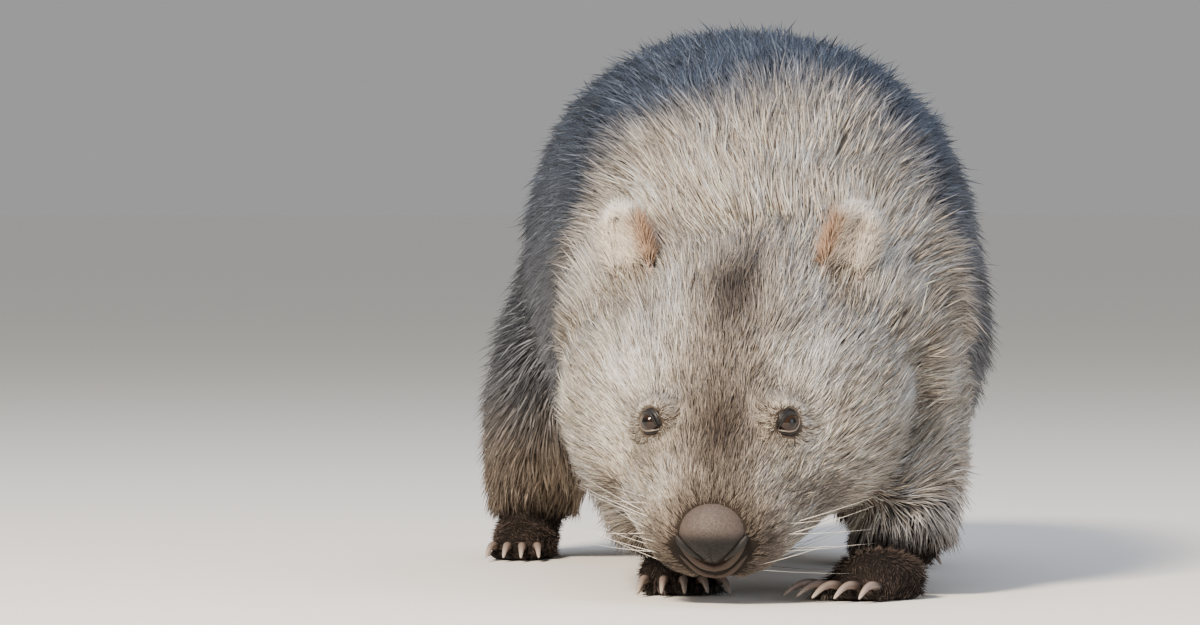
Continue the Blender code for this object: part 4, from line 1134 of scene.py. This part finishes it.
def awayFromBare(points):  # 0 on the nose pad and the lips and round the eyes, 1 elsewhere
    h = headPoints(points)
    keep = ramp(np.linalg.norm((h - np.array(nose["at"])) / (1.2, 1.0, 1.0), axis=1), 0.0200, 0.0225)
    gap, _ = eyeDistance(points)
    return keep * ramp(gap, *eyes["bare"]) * (1 - bareLips(h))


def regionOf(points):  # the name of the region at each point
    p, _, isHead, low, onPaws = regions(points)
    grain = 0.18 * waves(points, 0.004, 61)
    name = np.where(p[:, 1] + 0.1 * grain < -0.10, "neck", "trunk")
    name = np.where(low + grain > 0.5, "legs", name)
    name = np.where(onPaws > 0.5, "paws", name)
    return np.where(isHead + grain > 0.5, "head", name)


def density(points):  # more tufts where the coat is short, none on bare skin
    length, _ = coatLength(points)
    return awayFromBare(points) * np.clip(0.014 / length, 0.8, 3.2)


kinds = {"darkTo": 0.21, "dark": 0.32, "paleFrom": 0.86, "pale": 1.3, "spread": 0.20}  # of hair, by share


def variedHue(tipHue, rootHue, clumpLevel, draw):  # most near the coat's colour, some pale, some dark
    count = len(tipHue)
    kind = draw.uniform(size=count)
    level = np.exp(draw.normal(scale=kinds["spread"], size=count)) * (0.76 + 0.42 * clumpLevel)
    level = np.where(kind < kinds["darkTo"], level * kinds["dark"], level)
    tip = tipHue * level[:, None]
    tip = np.where((kind > kinds["paleFrom"])[:, None], tip * kinds["pale"] + 0.03, tip)
    return np.minimum(tip, 0.9), rootHue * (0.75 + 0.5 * draw.uniform(size=(count, 1)))


def dressed(roots, clump, wide, draw):  # adds the lie, size, clump and colour of the tufts to their roots
    at, facing = roots["at"], roots["facing"]
    count = len(at)
    length, angle = coatLength(at)
    centre, level = cells(at, clump * 0.001, 7)
    lie = coatLie(at, facing)
    side = np.cross(facing, lie)
    turn = 0.16 * waves(at, 0.022, 32) + 0.14 * waves(at, 0.060, 33) + 0.12 * draw.normal(size=count)
    roots["lie"] = unit(lie * np.cos(turn)[:, None] + side * np.sin(turn)[:, None])
    longer = 1 + 0.15 * draw.normal(size=count) + 0.2 * (level - 0.5)
    roots["length"] = np.clip(length * longer, 0.002, 0.045)
    steeper = 1 + 0.25 * draw.normal(size=count) + 0.15 * waves(at, 0.020, 34)
    roots["angle"] = angle * np.clip(steeper, 0.3, 2.0)
    pull = centre - at
    pull -= facing * dot(pull, facing)[:, None]
    pull -= roots["lie"] * (0.5 * dot(pull, roots["lie"]))[:, None]
    roots["pull"] = pull * draw.uniform(0.35, 0.8, size=(count, 1))
    tip, root = coatColour(at)
    roots["tipHue"], roots["rootHue"] = variedHue(tip, root, level, draw)
    thick = wide * 0.001 * (0.7 + 0.6 * draw.uniform(size=count))
    roots["width"] = thick * np.clip(length / 0.012, 0.45, 1.0)
    return roots


def coatRegion(index, name):  # short and long tufts of one region, in pieces of up to coatLimit triangles
    slot, bentCount, straightCount, wide, clump = tufts[name]

    def here(at):  # how many tufts stand at a place, none on the soles
        return (regionOf(at) == name) * density(at) * (at[:, 2] > 0.003)

    for bent, count in ((False, straightCount), (True, bentCount)):
        if count == 0:
            continue
        draw = np.random.default_rng(100 + 2 * index + bent)
        count = count
        roots = rootsOn(skin, here, count, draw)
        roots = dressed(roots, clump, wide * (1.0), draw)
        if bent:
            roots["length"] = roots["length"] * 1.08
        parts = math.ceil(count * (10 if bent else 4) / coatLimit)
        for number, chosen in enumerate(np.array_split(draw.permutation(count), parts)):
            label = "coat" + name.capitalize() + ("Long" if bent else "Short")
            label += str(number + 1) if parts > 1 else ""
            growTufts(label, {key: value[chosen] for key, value in roots.items()}, bent, draw)
    print("coat", name)


for index, name in enumerate(tufts):
    coatRegion(index, name)


earCoat = {"count": 6000, "length": 10.0, "width": 0.85, "clump": 4.0, "angle": 26}  # millimetres, degrees


def coatOfEar(side, word, piece, index):
    # The ear's coat lies from root to tip: rust on the inner edge, white at the tip and a little outwards.
    draw = np.random.default_rng(300 + index)
    count = earCoat["count"]
    root, along, across, _ = earAxes(side)
    roots = rootsOn(piece, lambda at: ramp(dot(headPoints(at) - root, along), 0.008, 0.020), count, draw)
    roots = dressed(roots, earCoat["clump"], earCoat["width"], draw)
    h = headPoints(roots["at"]) - root
    outwards = dot(h, across) * np.sign(across[0] * side) / (ears["width"] / 2)
    up = dot(h, along) / (ears["length"] + ears["sunk"])
    lie = (along + 0.35 * across * np.sign(across[0] * side) * outwards[:, None]) @ headTurn.T
    lie = lie - roots["facing"] * dot(lie, roots["facing"])[:, None]
    roots["lie"] = unit(lie + 0.22 * draw.normal(size=(count, 3)))
    length = earCoat["length"] * 0.001 * (0.6 + 0.9 * draw.uniform(size=count))
    roots["length"] = length * (1 - 0.3 * ramp(up, 0.8, 1.0))
    roots["angle"] = np.radians(earCoat["angle"]) * (0.6 + 0.8 * draw.uniform(size=count))
    for key, end in (("tipHue", 0), ("rootHue", 1)):
        colour = mixRows(hues["grey"][end], hues["cream"][end], np.full(count, 0.5))
        colour = mixRows(colour, hues["rust"][end], 0.7 * (1 - ramp(outwards, -0.95, -0.55)))
        pale = np.maximum(ramp(up, 0.75, 0.92), 0.22 * ramp(outwards, 0.1, 0.8))
        colour = mixRows(colour, hues["white"][end], pale)
        roots[key] = colour * (0.55 + 0.55 * draw.uniform(size=(count, 1)))
    growTufts("coatEar" + word.capitalize(), roots, False, draw)


for index, (side, word, piece) in enumerate(earPieces):
    coatOfEar(side, word, piece, index)
print("coat of the ears")


# Whiskers

whiskers = {  # on each side
    "each": 22, "length": (0.026, 0.062), "radius": 0.00020, "hues": ("#efe9df", "#3a322c"), "light": 0.45,
}


def whiskerSet():
    # Long stiff hairs from both sides of the muzzle: each leaves outwards, then curves back and down.
    draw = np.random.default_rng(9)
    light, dark = (linear(code) for code in whiskers["hues"])
    hairs, colours = [], []
    for side in (1, -1):
        for _ in range(whiskers["each"]):
            start = np.array([side * 0.030, 0.020, -0.016]) + draw.normal(size=3) * (0.006, 0.012, 0.008)
            root = skinFinder.find_nearest(Vector(fromHead(start)))[0]
            way = unit(np.array([side * 1.0, 0.15 + 0.5 * draw.uniform(), -0.45 + 0.7 * draw.uniform()]))
            length = draw.uniform(*whiskers["length"])
            t = np.linspace(0, 1, 8)[:, None]
            bend = np.array([0, 0.30, -0.22]) * draw.uniform(0.4, 1.0)
            path = (way * t + bend * t ** 2) * length / scale
            radii = whiskers["radius"] * (1.02 - t[:, 0])
            hairs.append(sweep(np.array(root) + path @ headTurn.T * scale, radii, 4))
            hue = light if draw.uniform() < whiskers["light"] else dark
            colours.append(np.tile(hue, (len(hairs[-1][0]), 1)))
    verts, quads = joined(hairs)
    verts[:, 2] = aboveFloor(verts[:, 2])
    piece = newPiece("whiskers", verts, quads, materials["hair"])
    setColour(piece.data, "coatColour", np.vstack(colours))
    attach(piece, "root")


whiskerSet()
print("whiskers")


# Stage, camera and light

view = {  # the camera in drawn numbers, and how far it turns and looks down, in degrees
    "at": (-0.4706, -5.3655, 0.278), "turn": 3.84, "down": 0.906, "lens": 219.0, "farthest": 200,
}
studio = {
    "floor": 90.0, "floorHue": "#ebe8e3", "airHue": "#e6e6e6",
    "air": 0.55, "airSeen": 0.46,  # the camera sees the air as bright as the far floor
    "lamps": (  # name, place, aimed at, size, power in watts, hue
        ("key", (-1.7, -2.9, 2.6), (0, -0.1, 0.15), 0.8, 410, "#ffefda"),
        ("fill", (2.6, -3.0, 1.2), (0, 0, 0.15), 2.2, 40, "#e9efff"),
        ("sky", (0.3, 0.8, 3.2), (0, 0, 0.2), 2.6, 55, "#d3e2ff"),
    ),
}


def stage():  # a wide flat floor of pale, dull studio paper
    mesh = bpy.data.meshes.new("floor")
    half = studio["floor"]
    corners = [(-half, -half, 0), (half, -half, 0), (half, half, 0), (-half, half, 0)]
    mesh.from_pydata(corners, [], [(0, 1, 2, 3)])
    floor = bpy.data.objects.new("floor", mesh)
    bpy.context.scene.collection.objects.link(floor)
    material, _, shader = newMaterial("mattPaper", 0.9, 0.2)
    shader.inputs["Base Color"].default_value = (*linear(studio["floorHue"]), 1)
    mesh.materials.append(material)


def areaLight(name, at, towards, size, power, tint):  # a square lamp aimed at a place
    lamp = bpy.data.lights.new(name, "AREA")
    lamp.size = size
    lamp.energy = power
    lamp.color = tuple(linear(tint))
    holder = bpy.data.objects.new(name, lamp)
    holder.location = at
    holder.rotation_euler = (Vector(towards) - Vector(at)).to_track_quat("-Z", "Y").to_euler()
    bpy.context.scene.collection.objects.link(holder)


def lightAndCamera():
    for lamp in studio["lamps"]:
        areaLight(*lamp)
    world = bpy.data.worlds.new("studio")
    world.use_nodes = True
    tree = world.node_tree
    air = tree.nodes["Background"]
    air.inputs["Color"].default_value = (*linear(studio["airHue"]), 1)
    seen = addNode(tree, "ShaderNodeLightPath")
    level = addNode(tree, "ShaderNodeMapRange", {"To Min": studio["air"], "To Max": studio["airSeen"]},
                    {"Value": seen.outputs["Is Camera Ray"]})
    tree.links.new(level.outputs["Result"], air.inputs["Strength"])
    bpy.context.scene.world = world
    turn, down = math.radians(view["turn"]), math.radians(view["down"])
    ahead = Vector((math.sin(turn) * math.cos(down), math.cos(turn) * math.cos(down), -math.sin(down)))
    camera = bpy.data.objects.new("camera", bpy.data.cameras.new("camera"))
    camera.data.sensor_width = 36
    camera.data.lens = view["lens"]
    camera.data.clip_end = view["farthest"]
    camera.location = toFrame(view["at"])
    camera.rotation_euler = ahead.to_track_quat("-Z", "Y").to_euler()
    bpy.context.scene.collection.objects.link(camera)
    bpy.context.scene.camera = camera


stage()
lightAndCamera()
print("stage, light and camera")
